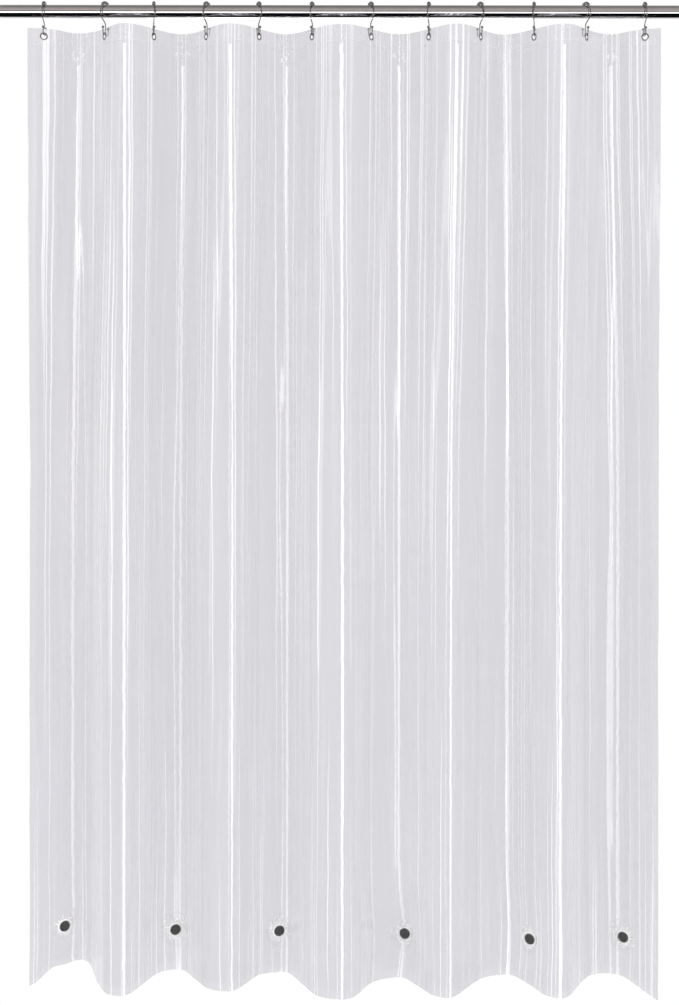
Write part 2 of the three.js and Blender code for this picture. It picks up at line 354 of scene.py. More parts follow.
def painted_crest_highlight(tree, number, is_front, below, aside):
    """A painted highlight: the white line down each crest, and the distance from the crest that it
    is drawn by.
    """
    lane = vector_of(tree, X=maths(tree, "MULTIPLY", number, 3.71), Y=below)
    slow = noise(tree, stretched(tree, lane, (1.0, 3.2, 1.0)), 1.0, 2.0, 0.5)
    kinks = noise(tree, stretched(tree, lane, (1.0, 34.0, 1.0), (5.3, 0, 0)), 1.0, 2.0, 0.6)
    bent = maths(tree, "ADD", aside, spread(tree, kinks, -0.9 * MM, 0.9 * MM, 0.3, 0.7))
    off = magnitude(tree, bent)
    half = maths(tree, "ADD", 3.1 * MM, maths(tree, "MULTIPLY", is_front, -0.6 * MM))
    half = maths(tree, "ADD", half, spread(tree, slow, -0.8 * MM, 0.8 * MM, 0.3, 0.7))
    # line is the painted highlight: 1 on the crest, falling to 0 off it
    line = spread(tree, maths(tree, "SUBTRACT", off, half), 1.0, 0.0, -0.25 * MM, 0.35 * MM)
    start = maths(tree, "ADD", 60 * MM, maths(tree, "MULTIPLY", is_front, -24 * MM))
    highlight_begun = spread(tree, maths(tree, "SUBTRACT", below, start), 0.0, 1.0, 0.0, 4 * MM)
    return maths(tree, "MULTIPLY", line, highlight_begun), off


def header_glints_and_seam(tree, across, below, off):
    """Painted highlight glints, hatched, near the crests, and the weld seam at the header's lower
    edge.
    """
    header = sizes().header
    fine = vector_of(
        tree, X=maths(tree, "MULTIPLY", across, 700.0), Y=maths(tree, "MULTIPLY", below, 90.0)
    )
    # Painted highlight glints, hatched, only near the crests
    hatch_glint = spread(tree, noise(tree, fine, 1.0, 2.0, 0.6), 0.0, 1.0, 0.5, 0.72)
    near_crest_glint = spread(tree, off, 1.0, 0.15, 2 * MM, 26 * MM)
    in_header = spread(tree, below, 1.0, 0.0, header - 1 * MM, header + 8 * MM)
    hatch_glint = maths(tree, "MULTIPLY", maths(tree, "MULTIPLY", hatch_glint, near_crest_glint), in_header)
    from_seam = magnitude(tree, maths(tree, "SUBTRACT", below, header))
    return maths(tree, "MAXIMUM", hatch_glint, spread(tree, from_seam, 0.5, 0.0, 0.3 * MM, 1.4 * MM))


def painted_pucker_glints(tree, number, is_front, below, aside, off):
    """Painted highlight glints of small pinched wrinkles under the header, at the back crests."""
    spot = vector_of(
        tree,
        X=maths(tree, "MULTIPLY", aside, 150.0),
        Y=maths(tree, "MULTIPLY", below, 75.0),
        Z=maths(tree, "MULTIPLY", number, 1.7),
    )
    # Painted highlight glints of the wrinkles under the header
    pucker_glint = spread(tree, noise(tree, spot, 1.0, 1.0, 0.5), 0.0, 1.0, 0.56, 0.61)
    height = magnitude(tree, maths(tree, "SUBTRACT", below, 46 * MM))
    glint_window = maths(
        tree,
        "MULTIPLY",
        spread(tree, height, 1.0, 0.0, 7 * MM, 13 * MM),
        spread(tree, off, 1.0, 0.0, 9 * MM, 20 * MM),
    )
    pucker_glint = maths(tree, "MULTIPLY", pucker_glint, glint_window)
    return maths(tree, "MULTIPLY", pucker_glint, maths(tree, "SUBTRACT", 1.0, is_front))


def painted_crest_marks(tree, place):
    """The painted highlight lines down the crests with their painted glints under the header, and
    the header's painted crest glints and seam, each 0 to 1.
    """
    size = sizes()
    pitch = (size.film_width - 2 * size.side_margin) / (HOOK_COUNT - 1)
    fold = attribute_value(tree, "fold")
    number = node(tree, "ShaderNodeMath", {0: fold}, operation="FLOOR").outputs[0]
    part = node(tree, "ShaderNodeMath", {0: fold}, operation="FRACT").outputs[0]
    is_front = maths(tree, "MODULO", number, 2.0)
    parts = node(tree, "ShaderNodeSeparateXYZ", {"Vector": place}).outputs
    below = maths(tree, "MULTIPLY", maths(tree, "SUBTRACT", 1.0, parts["Y"]), FILM_DROP)
    aside = maths(tree, "MULTIPLY", maths(tree, "SUBTRACT", part, 0.5), pitch)
    line, off = painted_crest_highlight(tree, number, is_front, below, aside)
    pucker_glint = painted_pucker_glints(tree, number, is_front, below, aside, off)
    return maths(tree, "MAXIMUM", line, pucker_glint), header_glints_and_seam(tree, parts["X"], below, off)


def clear_film_material():
    """Clear vinyl film: drawn streaks down its length, painted highlights down the crests, and
    milky doubled bands.
    """
    colour = colours()
    made, tree, shader = new_material("clear_film")
    place = node(tree, "ShaderNodeUVMap", uv_map="film_map").outputs["UV"]
    fine = noise(tree, stretched(tree, place, (900.0, 9.0, 1.0)), 1.0, 3.0, 0.6)
    broad = noise(tree, stretched(tree, place, (150.0, 2.5, 1.0), (7.3, 1.1, 0)), 1.0, 2.0, 0.5)
    cloud = noise(tree, stretched(tree, place, (36.0, 30.0, 1.0), (2.7, 5.1, 0)), 1.0, 3.0, 0.55)
    # The first is the painted highlight down the crests with its painted glints; the second is the
    # header's painted crest glints and seam
    crest_highlight, header = painted_crest_marks(tree, place)
    band = attribute_value(tree, "band")
    streak = maths(tree, "ADD", spread(tree, fine, 0.0, 0.5), spread(tree, broad, 0.0, 0.5))
    clear = ramp(
        tree,
        streak,
        [
            (0.50, list(colour.film_clear)),
            (0.72, [min(1.0, part * 1.28) for part in colour.film_clear]),
        ],
    )
    threads = noise(tree, stretched(tree, place, (330.0, 0.9, 1.0), (3.1, 0.7, 0)), 1.0, 1.0, 0.4)
    thread = spread(tree, threads, 0.0, 0.5, 0.61, 0.66)
    # The header's painted crest glints and its seam, made fainter
    pressed = maths(tree, "MULTIPLY", header, 0.38)
    # Painted crest highlights and glints, drawn threads and the seam: they whiten the film and make
    # it less clear
    marks = maths(tree, "MAXIMUM", crest_highlight, maths(tree, "MAXIMUM", thread, pressed))
    milky_and_highlight_mix = maths(
        tree, "MAXIMUM", maths(tree, "MULTIPLY", marks, 2.2), spread(tree, band, 0.0, 0.2)
    )
    base = mixed(tree, milky_and_highlight_mix, clear, (*colour.milky_and_highlight_white, 1.0))
    cover = maths(tree, "ADD", 0.30, spread(tree, cloud, -0.012, 0.012))
    cover = maths(tree, "ADD", cover, maths(tree, "MULTIPLY", marks, 0.66))
    cover = maths(tree, "ADD", cover, spread(tree, band, 0.0, 0.03))
    finish = maths(tree, "ADD", spread(tree, cloud, 0.05, 0.12), spread(tree, fine, 0.0, 0.04))
    height = maths(tree, "ADD", fine, maths(tree, "MULTIPLY", broad, 2.0))
    connect(
        tree,
        shader,
        Base_Color=base,
        Roughness=finish,
        Alpha=cover,
        IOR=1.5,
        Normal=bumped(tree, height, 0.02, 0.0008),
    )
    connect(tree, shader, Specular_IOR_Level=0.9, Coat_Weight=0.5, Coat_Roughness=0.06)
    return made


def pocket_film_material():
    """The clear cover of a magnet pocket, hazed white where it is drawn tight."""
    colour = colours()
    made, tree, shader = new_material("pocket_film")
    place = object_coordinates(tree)
    mottle = noise(tree, place, 210.0, 3.0, 0.6)
    haze = attribute_value(tree, "haze")
    base = ramp(tree, mottle, [(0.45, list(colour.milky_and_highlight_white)), (0.95, list(colour.weld))])
    cover = maths(tree, "ADD", spread(tree, mottle, 0.02, 0.05), spread(tree, haze, 0.0, 0.93))
    connect(
        tree,
        shader,
        Base_Color=base,
        Roughness=spread(tree, mottle, 0.15, 0.3),
        Alpha=cover,
        IOR=1.5,
        Normal=bumped(tree, mottle, 0.15, 0.0005),
    )
    return made


def weld_material():
    """Pressed weld marks: opaque cream specks."""
    colour = colours()
    made, tree, shader = new_material("weld_mark")
    place = object_coordinates(tree)
    mottle = noise(tree, place, 900.0, 3.0, 0.6)
    worn = [part * 0.93 for part in colour.weld]
    base = ramp(tree, mottle, [(0.3, worn), (0.7, list(colour.weld))])
    connect(
        tree,
        shader,
        Base_Color=base,
        Roughness=spread(tree, mottle, 0.3, 0.5),
        Normal=bumped(tree, mottle, 0.2, 0.0003),
    )
    return made


def magnet_material():
    """Dull sintered magnet: fine speckle, and a rim that is darker than its face."""
    colour = colours()
    made, tree, shader = new_material("magnet_grey")
    place = object_coordinates(tree)
    grain = noise(tree, place, 1400.0, 4.0, 0.65)
    patches = noise(tree, place, 160.0, 2.0, 0.5)
    rim = attribute_value(tree, "rim")
    dark, pale, edge = ([part * share for part in colour.magnet] for share in (0.75, 1.3, 0.45))
    base = ramp(
        tree,
        maths(tree, "ADD", spread(tree, grain, 0.0, 0.6), spread(tree, patches, 0.0, 0.4)),
        [(0.3, dark), (0.7, pale)],
    )
    connect(
        tree,
        shader,
        Base_Color=mixed(tree, rim, base, (*edge, 1.0)),
        Roughness=spread(tree, grain, 0.5, 0.7),
        Normal=bumped(tree, grain, 0.25, 0.0004),
    )
    return made


def floor_material():
    """A pale studio floor with a faint mottle."""
    made, tree, shader = new_material("studio_floor")
    place = object_coordinates(tree)
    mottle = noise(tree, place, 3.0, 2.0, 0.5)
    pale = list(colours().floor)
    connect(
        tree,
        shader,
        Base_Color=(0.0, 0.0, 0.0, 1.0),
        Roughness=1.0,
        Specular_IOR_Level=0.0,
        Emission_Color=ramp(tree, mottle, [(0.3, [part * 0.985 for part in pale]), (0.7, pale)]),
        Emission_Strength=1.02,
    )
    return made


def rod_material():
    return chrome("rod_chrome", list(colours().chrome_rod), (4, 900, 900), 0.01, 0.035)


def hook_material():
    return chrome("hook_chrome", list(colours().chrome_hook), (260, 260, 260), 0.03, 0.08)


def eyelet_material():
    return chrome("eyelet_nickel", list(colours().eyelet), (400, 400, 400), 0.05, 0.12)


FINISHES = {}


def finish_named(name):
    """Each finish is made once, when a piece first needs it."""
    if name not in FINISHES:
        FINISHES[name] = {
            "rod": rod_material,
            "hook": hook_material,
            "eyelet": eyelet_material,
            "film": clear_film_material,
            "pocket": pocket_film_material,
            "weld": weld_material,
            "magnet": magnet_material,
            "floor": floor_material,
        }[name]()
    return FINISHES[name]


# ---------------------------------------------------------------- Geometry Nodes helpers


def new_tree(name, **inputs):
    """A geometry tree with a Geometry input and output, and named inputs of (kind, value)."""
    tree = bpy.data.node_groups.new(name, "GeometryNodeTree")
    sockets = tree.interface
    sockets.new_socket("Geometry", in_out="INPUT", socket_type="NodeSocketGeometry")
    for key, (kind, value) in inputs.items():
        label = key.replace("_", " ")
        socket = sockets.new_socket(label, in_out="INPUT", socket_type="NodeSocket" + kind)
        if value is not None:
            socket.default_value = value
    sockets.new_socket("Geometry", in_out="OUTPUT", socket_type="NodeSocketGeometry")
    entry = node(tree, "NodeGroupInput")
    return tree, entry.outputs


def end_tree(tree, geometry, material):
    """Realizes the instances, shades them smooth, and sets the material."""
    whole = node(tree, "GeometryNodeRealizeInstances", {"Geometry": geometry})
    soft = node(tree, "GeometryNodeSetShadeSmooth", {0: whole.outputs["Geometry"]})
    inputs = {"Geometry": soft.outputs[0], "Material": material}
    coloured = node(tree, "GeometryNodeSetMaterial", inputs)
    node(tree, "NodeGroupOutput", {0: coloured.outputs["Geometry"]})


def grow(tree, name, source, smooth_below=40.0, **values):
    """Runs a geometry tree on a source object, and keeps its result as a plain mesh object."""
    modifier = source.modifiers.new(tree.name, "NODES")
    modifier.node_group = tree
    items = [item for item in tree.interface.items_tree if item.in_out == "INPUT"]
    sockets = {item.name: item.identifier for item in items}
    for key, value in values.items():
        modifier[sockets[key.replace("_", " ")]] = value
    source.update_tag()
    graph = bpy.context.evaluated_depsgraph_get()
    mesh = bpy.data.meshes.new_from_object(
        source.evaluated_get(graph), preserve_all_data_layers=True, depsgraph=graph
    )
    source.modifiers.remove(modifier)
    bpy.data.objects.remove(source)
    if not len(mesh.polygons):
        raise RuntimeError(f"{name} came out empty")
    mesh.name = name
    mesh.set_sharp_from_angle(angle=math.radians(smooth_below))
    return new_object(name, mesh)


def point_line(name, points, edges, **attributes):
    """A mesh of points and edges for a tree to follow."""
    mesh = bpy.data.meshes.new(name)
    mesh.from_pydata(np.asarray(points, float).tolist(), edges, [])
    made = new_object(name, mesh)
    for key, values in attributes.items():
        set_attribute(made, key, values)
    return made


def wire_tree():
    """Wire of a round section along each line, with a ball on the points marked as tips."""
    tree, given = new_tree(
        "Wire",
        Radius=("Float", 0.001),
        Sides=("Int", 16),
        Tip_Radius=("Float", 0.002),
        Material=("Material", None),
    )
    line = node(tree, "GeometryNodeMeshToCurve", {"Mesh": given["Geometry"]}).outputs["Curve"]
    ring = node(
        tree,
        "GeometryNodeCurvePrimitiveCircle",
        {"Resolution": given["Sides"], "Radius": given["Radius"]},
    )
    wire = node(
        tree,
        "GeometryNodeCurveToMesh",
        {"Curve": line, "Profile Curve": ring.outputs["Curve"], "Fill Caps": True},
    )
    tip = node(tree, "GeometryNodeInputNamedAttribute", {"Name": "tip"}, data_type="FLOAT")
    limits = {"A": tip.outputs["Attribute"], "B": 0.5}
    marked = node(tree, "FunctionNodeCompare", limits, operation="GREATER_THAN")
    ball = node(
        tree,
        "GeometryNodeMeshUVSphere",
        {"Segments": 20, "Rings": 12, "Radius": given["Tip Radius"]},
    )
    balls = node(
        tree,
        "GeometryNodeInstanceOnPoints",
        {
            "Points": given["Geometry"],
            "Selection": marked.outputs[0],
            "Instance": ball.outputs["Mesh"],
        },
    )
    both = node(tree, "GeometryNodeJoinGeometry", {"Geometry": wire.outputs["Mesh"]})
    tree.links.new(balls.outputs["Instances"], both.inputs["Geometry"])
    end_tree(tree, both.outputs["Geometry"], given["Material"])
    return tree


def roller_tree():
    """Roller beads at even spaces along a line, each turned to it."""
    tree, given = new_tree(
        "Rollers",
        Count=("Int", 5),
        Bead=("Object", None),
        Material=("Material", None),
    )
    line = node(tree, "GeometryNodeMeshToCurve", {"Mesh": given["Geometry"]}).outputs["Curve"]
    spaced = node(
        tree, "GeometryNodeCurveToPoints", {"Curve": line, "Count": given["Count"]}, mode="COUNT"
    )
    turned = node(
        tree,
        "FunctionNodeAlignRotationToVector",
        {"Vector": spaced.outputs["Tangent"]},
        axis="Z",
    )
    bead = node(tree, "GeometryNodeObjectInfo", {"Object": given["Bead"]})
    beads = node(
        tree,
        "GeometryNodeInstanceOnPoints",
        {
            "Points": spaced.outputs["Points"],
            "Instance": bead.outputs["Geometry"],
            "Rotation": turned.outputs["Rotation"],
        },
    )
    end_tree(tree, beads.outputs["Instances"], given["Material"])
    return tree


def speck_tree():
    """Small pressed specks strewn over a surface."""
    tree, given = new_tree(
        "Specks",
        Density=("Float", 100000.0),
        Seed=("Int", 7),
        Speck_Radius=("Float", 0.0005),
        Material=("Material", None),
    )
    strewn = node(
        tree,
        "GeometryNodeDistributePointsOnFaces",
        {"Mesh": given["Geometry"], "Density": given["Density"], "Seed": given["Seed"]},
    )
    chance = node(
        tree,
        "FunctionNodeRandomValue",
        {2: 0.45, 3: 1.25, "Seed": given["Seed"]},
        data_type="FLOAT",
    )
    ball = node(
        tree,
        "GeometryNodeMeshIcoSphere",
        {"Radius": given["Speck Radius"], "Subdivisions": 2},
    )
    specks = node(
        tree,
        "GeometryNodeInstanceOnPoints",
        {
            "Points": strewn.outputs["Points"],
            "Instance": ball.outputs["Mesh"],
            "Scale": chance.outputs[1],
        },
    )
    end_tree(tree, specks.outputs["Instances"], given["Material"])
    return tree


def stitch_tree():
    """Pressed dots at even spaces along a line, as a welding wheel leaves them."""
    tree, given = new_tree(
        "Weld dots",
        Spacing=("Float", 0.003),
        Dot_Radius=("Float", 0.0005),
        Material=("Material", None),
    )
    line = node(tree, "GeometryNodeMeshToCurve", {"Mesh": given["Geometry"]}).outputs["Curve"]
    run = {"Curve": line, "Length": given["Spacing"]}
    spaced = node(tree, "GeometryNodeCurveToPoints", run, mode="LENGTH")
    ball = node(
        tree,
        "GeometryNodeMeshIcoSphere",
        {"Radius": given["Dot Radius"], "Subdivisions": 1},
    )
    dots = node(
        tree,
        "GeometryNodeInstanceOnPoints",
        {"Points": spaced.outputs["Points"], "Instance": ball.outputs["Mesh"]},
    )
    end_tree(tree, dots.outputs["Instances"], given["Material"])
    return tree


TREES = {}


def tree_named(name):
    if name not in TREES:
        TREES[name] = {
            "wire": wire_tree,
            "rollers": roller_tree,
            "specks": speck_tree,
            "dots": stitch_tree,
        }[name]()
    return TREES[name]


# ---------------------------------------------------------------- the film's shape


def eased(t):
    t = np.clip(t, 0.0, 1.0)
    return t * t * (3 - 2 * t)


def bell(values, middle, width):
    return np.exp(-(((values - middle) / width) ** 2))


# Slope of the film at each eyelet: the mean of the waves on its two sides. The first and
# last eyelets, with one wave each, have a slope of their own.
END_SLOPES = (math.radians(20), math.radians(28))
FLAT_REACH = 7.7 * MM  # how far the film stays flat out from an eyelet's middle
# Handles of the curve from an eyelet to its crest, as shares of the wave's size.
HANDLE_EYELET = 0.5123
HANDLE_CREST = 0.5685


def wave_slope(k):
    spacing = GROMMETS[k + 1][0] - GROMMETS[k][0]
    depth = abs(CRESTS[k][1] - GROMMETS[k][1])
    return math.atan2(depth * math.pi, spacing)


def eyelet_slopes():
    waves = [wave_slope(k) for k in range(HOOK_COUNT - 1)]
    middle = [(waves[k - 1] + waves[k]) / 2 for k in range(1, HOOK_COUNT - 1)]
    slopes = [END_SLOPES[0], *middle, END_SLOPES[1]]
    return [slope if k % 2 == 0 else -slope for k, slope in enumerate(slopes)]


SLOPES = eyelet_slopes()


def cubic(t, a, b, c, d):
    return (1 - t) ** 3 * a + 3 * (1 - t) ** 2 * t * b + 3 * (1 - t) * t**2 * c + t**3 * d


def arm_points(k, side):
    """Plan points of the film from eyelet k to the crest on one side (1 right, -1 left)."""
    crest = CRESTS[k] if side > 0 else CRESTS[k - 1]
    other = GROMMETS[k + side]
    eyelet = GROMMETS[k][:2]
    spacing = abs(other[0] - eyelet[0])
    reach = np.array(crest) - eyelet
    wave = spacing / math.pi
    along = side * np.array([math.cos(SLOPES[k]), math.sin(SLOPES[k])])
    start = along * FLAT_REACH
    first = along * HANDLE_EYELET * math.hypot(wave, reach[1])
    second = reach - np.array([side * HANDLE_CREST * wave, 0.0])
    t = np.linspace(0, 1, 160)[:, None]
    curve = cubic(t, start, first, second, reach)
    return np.vstack([np.zeros(2), curve]) + eyelet


def by_length(points, start, end):
    """Distances along a plan line, stretched to run from start to end."""
    steps = np.hypot(*np.diff(points, axis=0).T)
    run = np.concatenate([[0], np.cumsum(steps)])
    return start + run / run[-1] * (end - start)


STEP = 0.5 * MM  # between the samples of a plan
PLAN_ROUND = 1.0 * MM  # rounding of the corners of the top plan

# The film's plan at the hem, as (x, y) in millimetres, with the crest that a row lies on.
# The flats of the folds lean, so that each fold is deepest at its crest line.
HEM_LINE = (
    (-592, -13, None),
    (-557, 8, None),
    (-530, 25, None),
    (-520, 33, 0),
    (-504, 46, None),
    (-487, 56, None),
    (-441, -55, None),
    (-400, -67, 1),
    (-350, 48, None),
    (-309, 60, 2),
    (-299, 52, None),
    (-250, -34, None),
    (-200, -46, 3),
    (-154, 32, None),
    (-99, 44, 4),
    (-42, -64, None),
    (7, -79, 5),
    (24, -74, None),
    (62, -8, None),
    (117, 1, 6),
    (126, -8, None),
    (176, -62, None),
    (210, -74, 7),
    (278, 21, None),
    (329, 32, 8),
    (338, 28, None),
    (388, -60, None),
    (414, -74, 9),
    (426, -73, None),
    (484, 30, None),
    (500, 38, None),
    (544, 35, 10),
    (553, 24, None),
    (577, -36, None),
    (597, -79, None),
)
HEM_ROUND = 13.0 * MM  # rounding of the corners of the hem plan
HEM_LIFT = 30 * MM  # how far the hem is drawn up at the first fold
MAGNET_REACH = 12 * MM  # a magnet's film is looked for this far to its sides
MAGNET_CLEARANCE = 0.35 * MM  # between a magnet's back and the film
PULL_REACH = 85 * MM  # distance over which a magnet's pull on the film dies away


class Film:
    """The film's shape: a point for each place (across, down) on the flat sheet."""

    def __init__(self):
        size = sizes()
        self.width = size.film_width
        self.margin = size.side_margin
        self.arm = (self.width - 2 * self.margin) / (HOOK_COUNT - 1) / 2
        self.across = np.arange(0.0, self.width + STEP / 2, STEP)
        self.eyelets = [self.margin + 2 * self.arm * k for k in range(HOOK_COUNT)]
        self.crests = [self.margin + self.arm * (2 * k + 1) for k in range(HOOK_COUNT - 1)]
        self.top = self.top_plan()
        self.hem = self.hem_plan()
        self.magnets = []
        self.find_magnets()

    def top_plan(self):
        """The plan that the rigid panels have: every arm of the same length."""
        places, points = [], []

        def lay(line, start, end):
            places.append(by_length(line, start, end))
            points.append(line)

        for k in range(HOOK_COUNT):
            along = np.array([math.cos(SLOPES[k]), math.sin(SLOPES[k])])
            eyelet = GROMMETS[k][:2]
            if k == 0:
                lay(np.array([eyelet - along * self.margin, eyelet]), 0, self.margin)
            else:
                lay(arm_points(k, -1)[::-1], self.crests[k - 1], self.eyelets[k])
            if k == HOOK_COUNT - 1:
                lay(np.array([eyelet, eyelet + along * self.margin]), self.eyelets[k], self.width)
            else:
                lay(arm_points(k, 1), self.eyelets[k], self.crests[k])
        return self.sampled(np.concatenate(places), np.vstack(points), PLAN_ROUND)

    def hem_plan(self):
        """The plan at the hem: flats that lean, joined by steep sides."""
        line = np.array([row[:2] for row in HEM_LINE], float) * MM
        marks = [(0, 0.0)]
        marks += [(i, self.crests[row[2]]) for i, row in enumerate(HEM_LINE) if row[2] is not None]
        marks.append((len(HEM_LINE) - 1, self.width))
        places = np.zeros(len(line))
        for (i, start), (j, end) in zip(marks, marks[1:]):
            places[i : j + 1] = by_length(line[i : j + 1], start, end)
        return self.sampled(places, line, HEM_ROUND)

    def sampled(self, places, points, rounding):
        """A plan at even steps across the sheet, its corners rounded off."""
        order = np.argsort(places, kind="stable")
        line = np.stack([np.interp(self.across, places[order], points[order, i]) for i in (0, 1)])
        reach = int(4 * rounding / STEP)
        kernel = np.exp(-0.5 * (np.arange(-reach, reach + 1) * STEP / rounding) ** 2)
        kernel /= kernel.sum()
        ends = []
        for row in line:
            head = row[0] + (row[0] - row[1]) * np.arange(reach, 0, -1)
            tail = row[-1] + (row[-1] - row[-2]) * np.arange(1, reach + 1)
            ends.append(np.convolve(np.concatenate([head, row, tail]), kernel, "valid"))
        return np.array(ends)

    def wander(self, across, down):
        """How far a fold line, with the painted highlight drawn down it, strays sideways on its way
        down.
        """
        lively = eased((down - 0.06) / 0.12)
        shift = (
            0.9 * np.sin(down * 9.1 + across * 17.0)
            + 0.6 * np.sin(down * 23.0 - across * 41.0 + 1.3)
            + 0.35 * np.sin(down * 61.0 + across * 83.0 + 0.4)
        )
        return shift * MM * lively

    def ripple(self, across, down):
        """Shallow flutes between the folds, pulled flat at the header and the hems."""
        sides = eased(across / 0.02) * eased((self.width - across) / 0.02)
        lively = eased((down - 0.035) / 0.10) * sides
        height = (
            0.22 * np.sin(across * 2 * math.pi / 0.0271 + 1.7 * np.sin(down * 3.1) + 0.6)
            + 0.12 * np.sin(across * 2 * math.pi / 0.0173 + 1.1 * np.sin(down * 4.7 + 2.0))
            + 0.40 * np.sin(across * 2 * math.pi / 0.0790 + 2.2 * np.sin(down * 1.9 + 1.0))
        )
        return height * MM * lively

    def plan_at(self, places, settle):
        """The plan's x and y, passing from the top's to the hem's as the folds settle."""
        top = np.stack([np.interp(places, self.across, row) for row in self.top])
        hem = np.stack([np.interp(places, self.across, row) for row in self.hem])
        return top + (hem - top) * settle

    def lift(self, across, down):
        """How far the film is drawn up near its first fold, as a share of its depth."""
        first = self.crests[0]
        fading = 1 - eased((across - 1.05 * first) / (0.7 * first))
        height = HEM_LIFT * eased(across / (0.65 * first)) * fading
        return height / FILM_DROP * eased(down / FILM_DROP)

    def plain(self, across, down):
        """A point of the film before its magnets pull it."""
        strayed = across + self.wander(across, down)
        settle = eased(down / sizes().settle)
        x, y = self.plan_at(strayed, settle)
        step = 2 * MM
        run = self.plan_at(strayed + step, settle) - self.plan_at(strayed - step, settle)
        run /= np.maximum(np.hypot(*run), 1e-9)
        height = self.ripple(across, down)
        z = FILM_TOP - down * (1 - self.lift(across, down))
        return np.stack([x - run[1] * height, y + run[0] * height, z], -1)

    def find_magnets(self):
        """Where each magnet lies on the sheet, and how far the film has to come to meet it."""
        size = sizes()
        for k in range(MAGNET_COUNT):
            name = numbered("magnet", k + 1)
            centre, front = centre_of(name), thin_axis(name)
            behind = (size.magnet_thickness + size.film_thickness) / 2 + MAGNET_CLEARANCE
            seat = centre - front * behind
            down = FILM_TOP - centre[2]
            line = self.plain(self.across, np.full_like(self.across, down))
            gap = np.hypot(line[:, 0] - seat[0], line[:, 1] - seat[1])
            gap[np.abs(line[:, 0] - seat[0]) >= MAGNET_REACH] = np.inf
            across = self.across[int(np.argmin(gap))]
            found = self.plain(np.array([across]), np.array([down]))[0]
            self.magnets.append(
                {
                    "name": name,
                    "across": across,
                    "down": down,
                    "pull": seat - found,
                    "seat": seat,
                    "front": front,
                    "centre": centre,
                }
            )

    def point(self, across, down):
        """A point of the film, drawn up flat behind each magnet."""
        across, down = np.broadcast_arrays(np.asarray(across, float), np.asarray(down, float))
        found = self.plain(across, down)
        size = sizes()
        for magnet in self.magnets:
            aside, below = across - magnet["across"], down - magnet["down"]
            away = np.hypot(aside, below)
            found = found + np.exp(-((away / PULL_REACH) ** 2))[..., None] * magnet["pull"]
            flat = 1 - eased((away - size.magnet_radius * 1.1) / (size.magnet_radius * 1.5))
            side = np.array([-magnet["front"][1], magnet["front"][0], 0.0])
            upright = np.array([0, 0, 1.0])
            laid = magnet["seat"] + aside[..., None] * side - below[..., None] * upright
            found = found + flat[..., None] * (laid - found)
        return found

    def frontward(self, across, down):
        """The film's own normal, on its front side."""
        d = 0.6 * MM
        a = self.point(across + d, down) - self.point(across - d, down)
        b = self.point(across, down + d) - self.point(across, down - d)
        normal = np.cross(a, -b)
        return normal / np.linalg.norm(normal, axis=-1, keepdims=True)

    def fold_place(self, across, down):
        """Folds from the first eyelet: a whole number at an eyelet, and a half at a crest."""
        return (across + self.wander(across, down) - self.margin) / (2 * self.arm)

    def band(self, across, down):
        """1 where the film is doubled: the header and the hems."""
        size = sizes()
        edge = 0.8 * MM
        header = 1 - eased((down - size.header) / edge)
        sides = 1 - eased((np.minimum(across, self.width - across) - size.hem) / edge)
        foot = 1 - eased((FILM_DROP - down - size.hem) / edge)
        return np.maximum(np.maximum(header, sides), foot)

    def half_thickness(self, across, down):
        size = sizes()
        one = size.film_thickness / 2
        wide = 0.9 * MM
        bead = bell(down, size.header, wide) + bell(FILM_DROP - down, size.hem, wide)
        bead = bead + bell(across, size.hem, wide) + bell(self.width - across, size.hem, wide)
        return one * (1 + 0.7 * self.band(across, down)) + 0.25 * MM * np.minimum(bead, 1.0)


FILM = {}


def film():
    if "shape" not in FILM:
        FILM["shape"] = Film()
    return FILM["shape"]


CELLS = 96  # columns between two eyelets
HOLE_CELLS = 1.5  # cells from an eyelet's middle to the hole's edge
MORPH_CELLS = 8.0  # cells over which the grid turns from round to square
BORDER_CELLS = 5  # a piece starts this many columns right of its eyelet


def film_columns():
    shape = film()
    cell = 2 * shape.arm / CELLS
    margin = int(shape.margin / cell)
    steps = np.arange(-margin, CELLS * (HOOK_COUNT - 1) + margin + 2) - 0.5
    places = shape.margin + steps * cell
    places[0], places[-1] = 0.0, shape.width
    first = margin + 1  # the column just right of the first eyelet
    borders = [first + BORDER_CELLS + CELLS * k for k in range(1, HOOK_COUNT - 1)]
    return places, cell, [0, *borders, len(places) - 1]


HEADER_ROWS = 22
HOLE_ROWS = 8.5  # rows from the top edge to an eyelet's middle
WIDEST_ROW = 15 * MM
MAGNET_ZONE = 145 * MM  # height of the closely gridded part over the hem
FOOT_ZONE = 24 * MM


def film_rows():
    """Close rows at the header, the magnets and the hem, and wide ones between them."""
    eyelet = FILM_TOP - GROMMETS[0][2]
    cell = eyelet / HOLE_ROWS
    rows = [cell * i for i in range(HEADER_ROWS)]
    step, last = cell, rows[-1]
    low_zone = FILM_DROP - MAGNET_ZONE
    while rows[-1] < low_zone:
        step = min(step * 1.14, WIDEST_ROW)
        rows.append(rows[-1] + step)
    stretch = (low_zone - last) / (rows[-1] - last)
    rows = rows[:HEADER_ROWS] + [last + (row - last) * stretch for row in rows[HEADER_ROWS:]]
    foot = FILM_DROP - FOOT_ZONE
    rows += list(np.linspace(rows[-1], foot, 42)[1:])
    rows += list(np.linspace(foot, FILM_DROP, 17)[1:])
    return np.array(rows), cell, eyelet


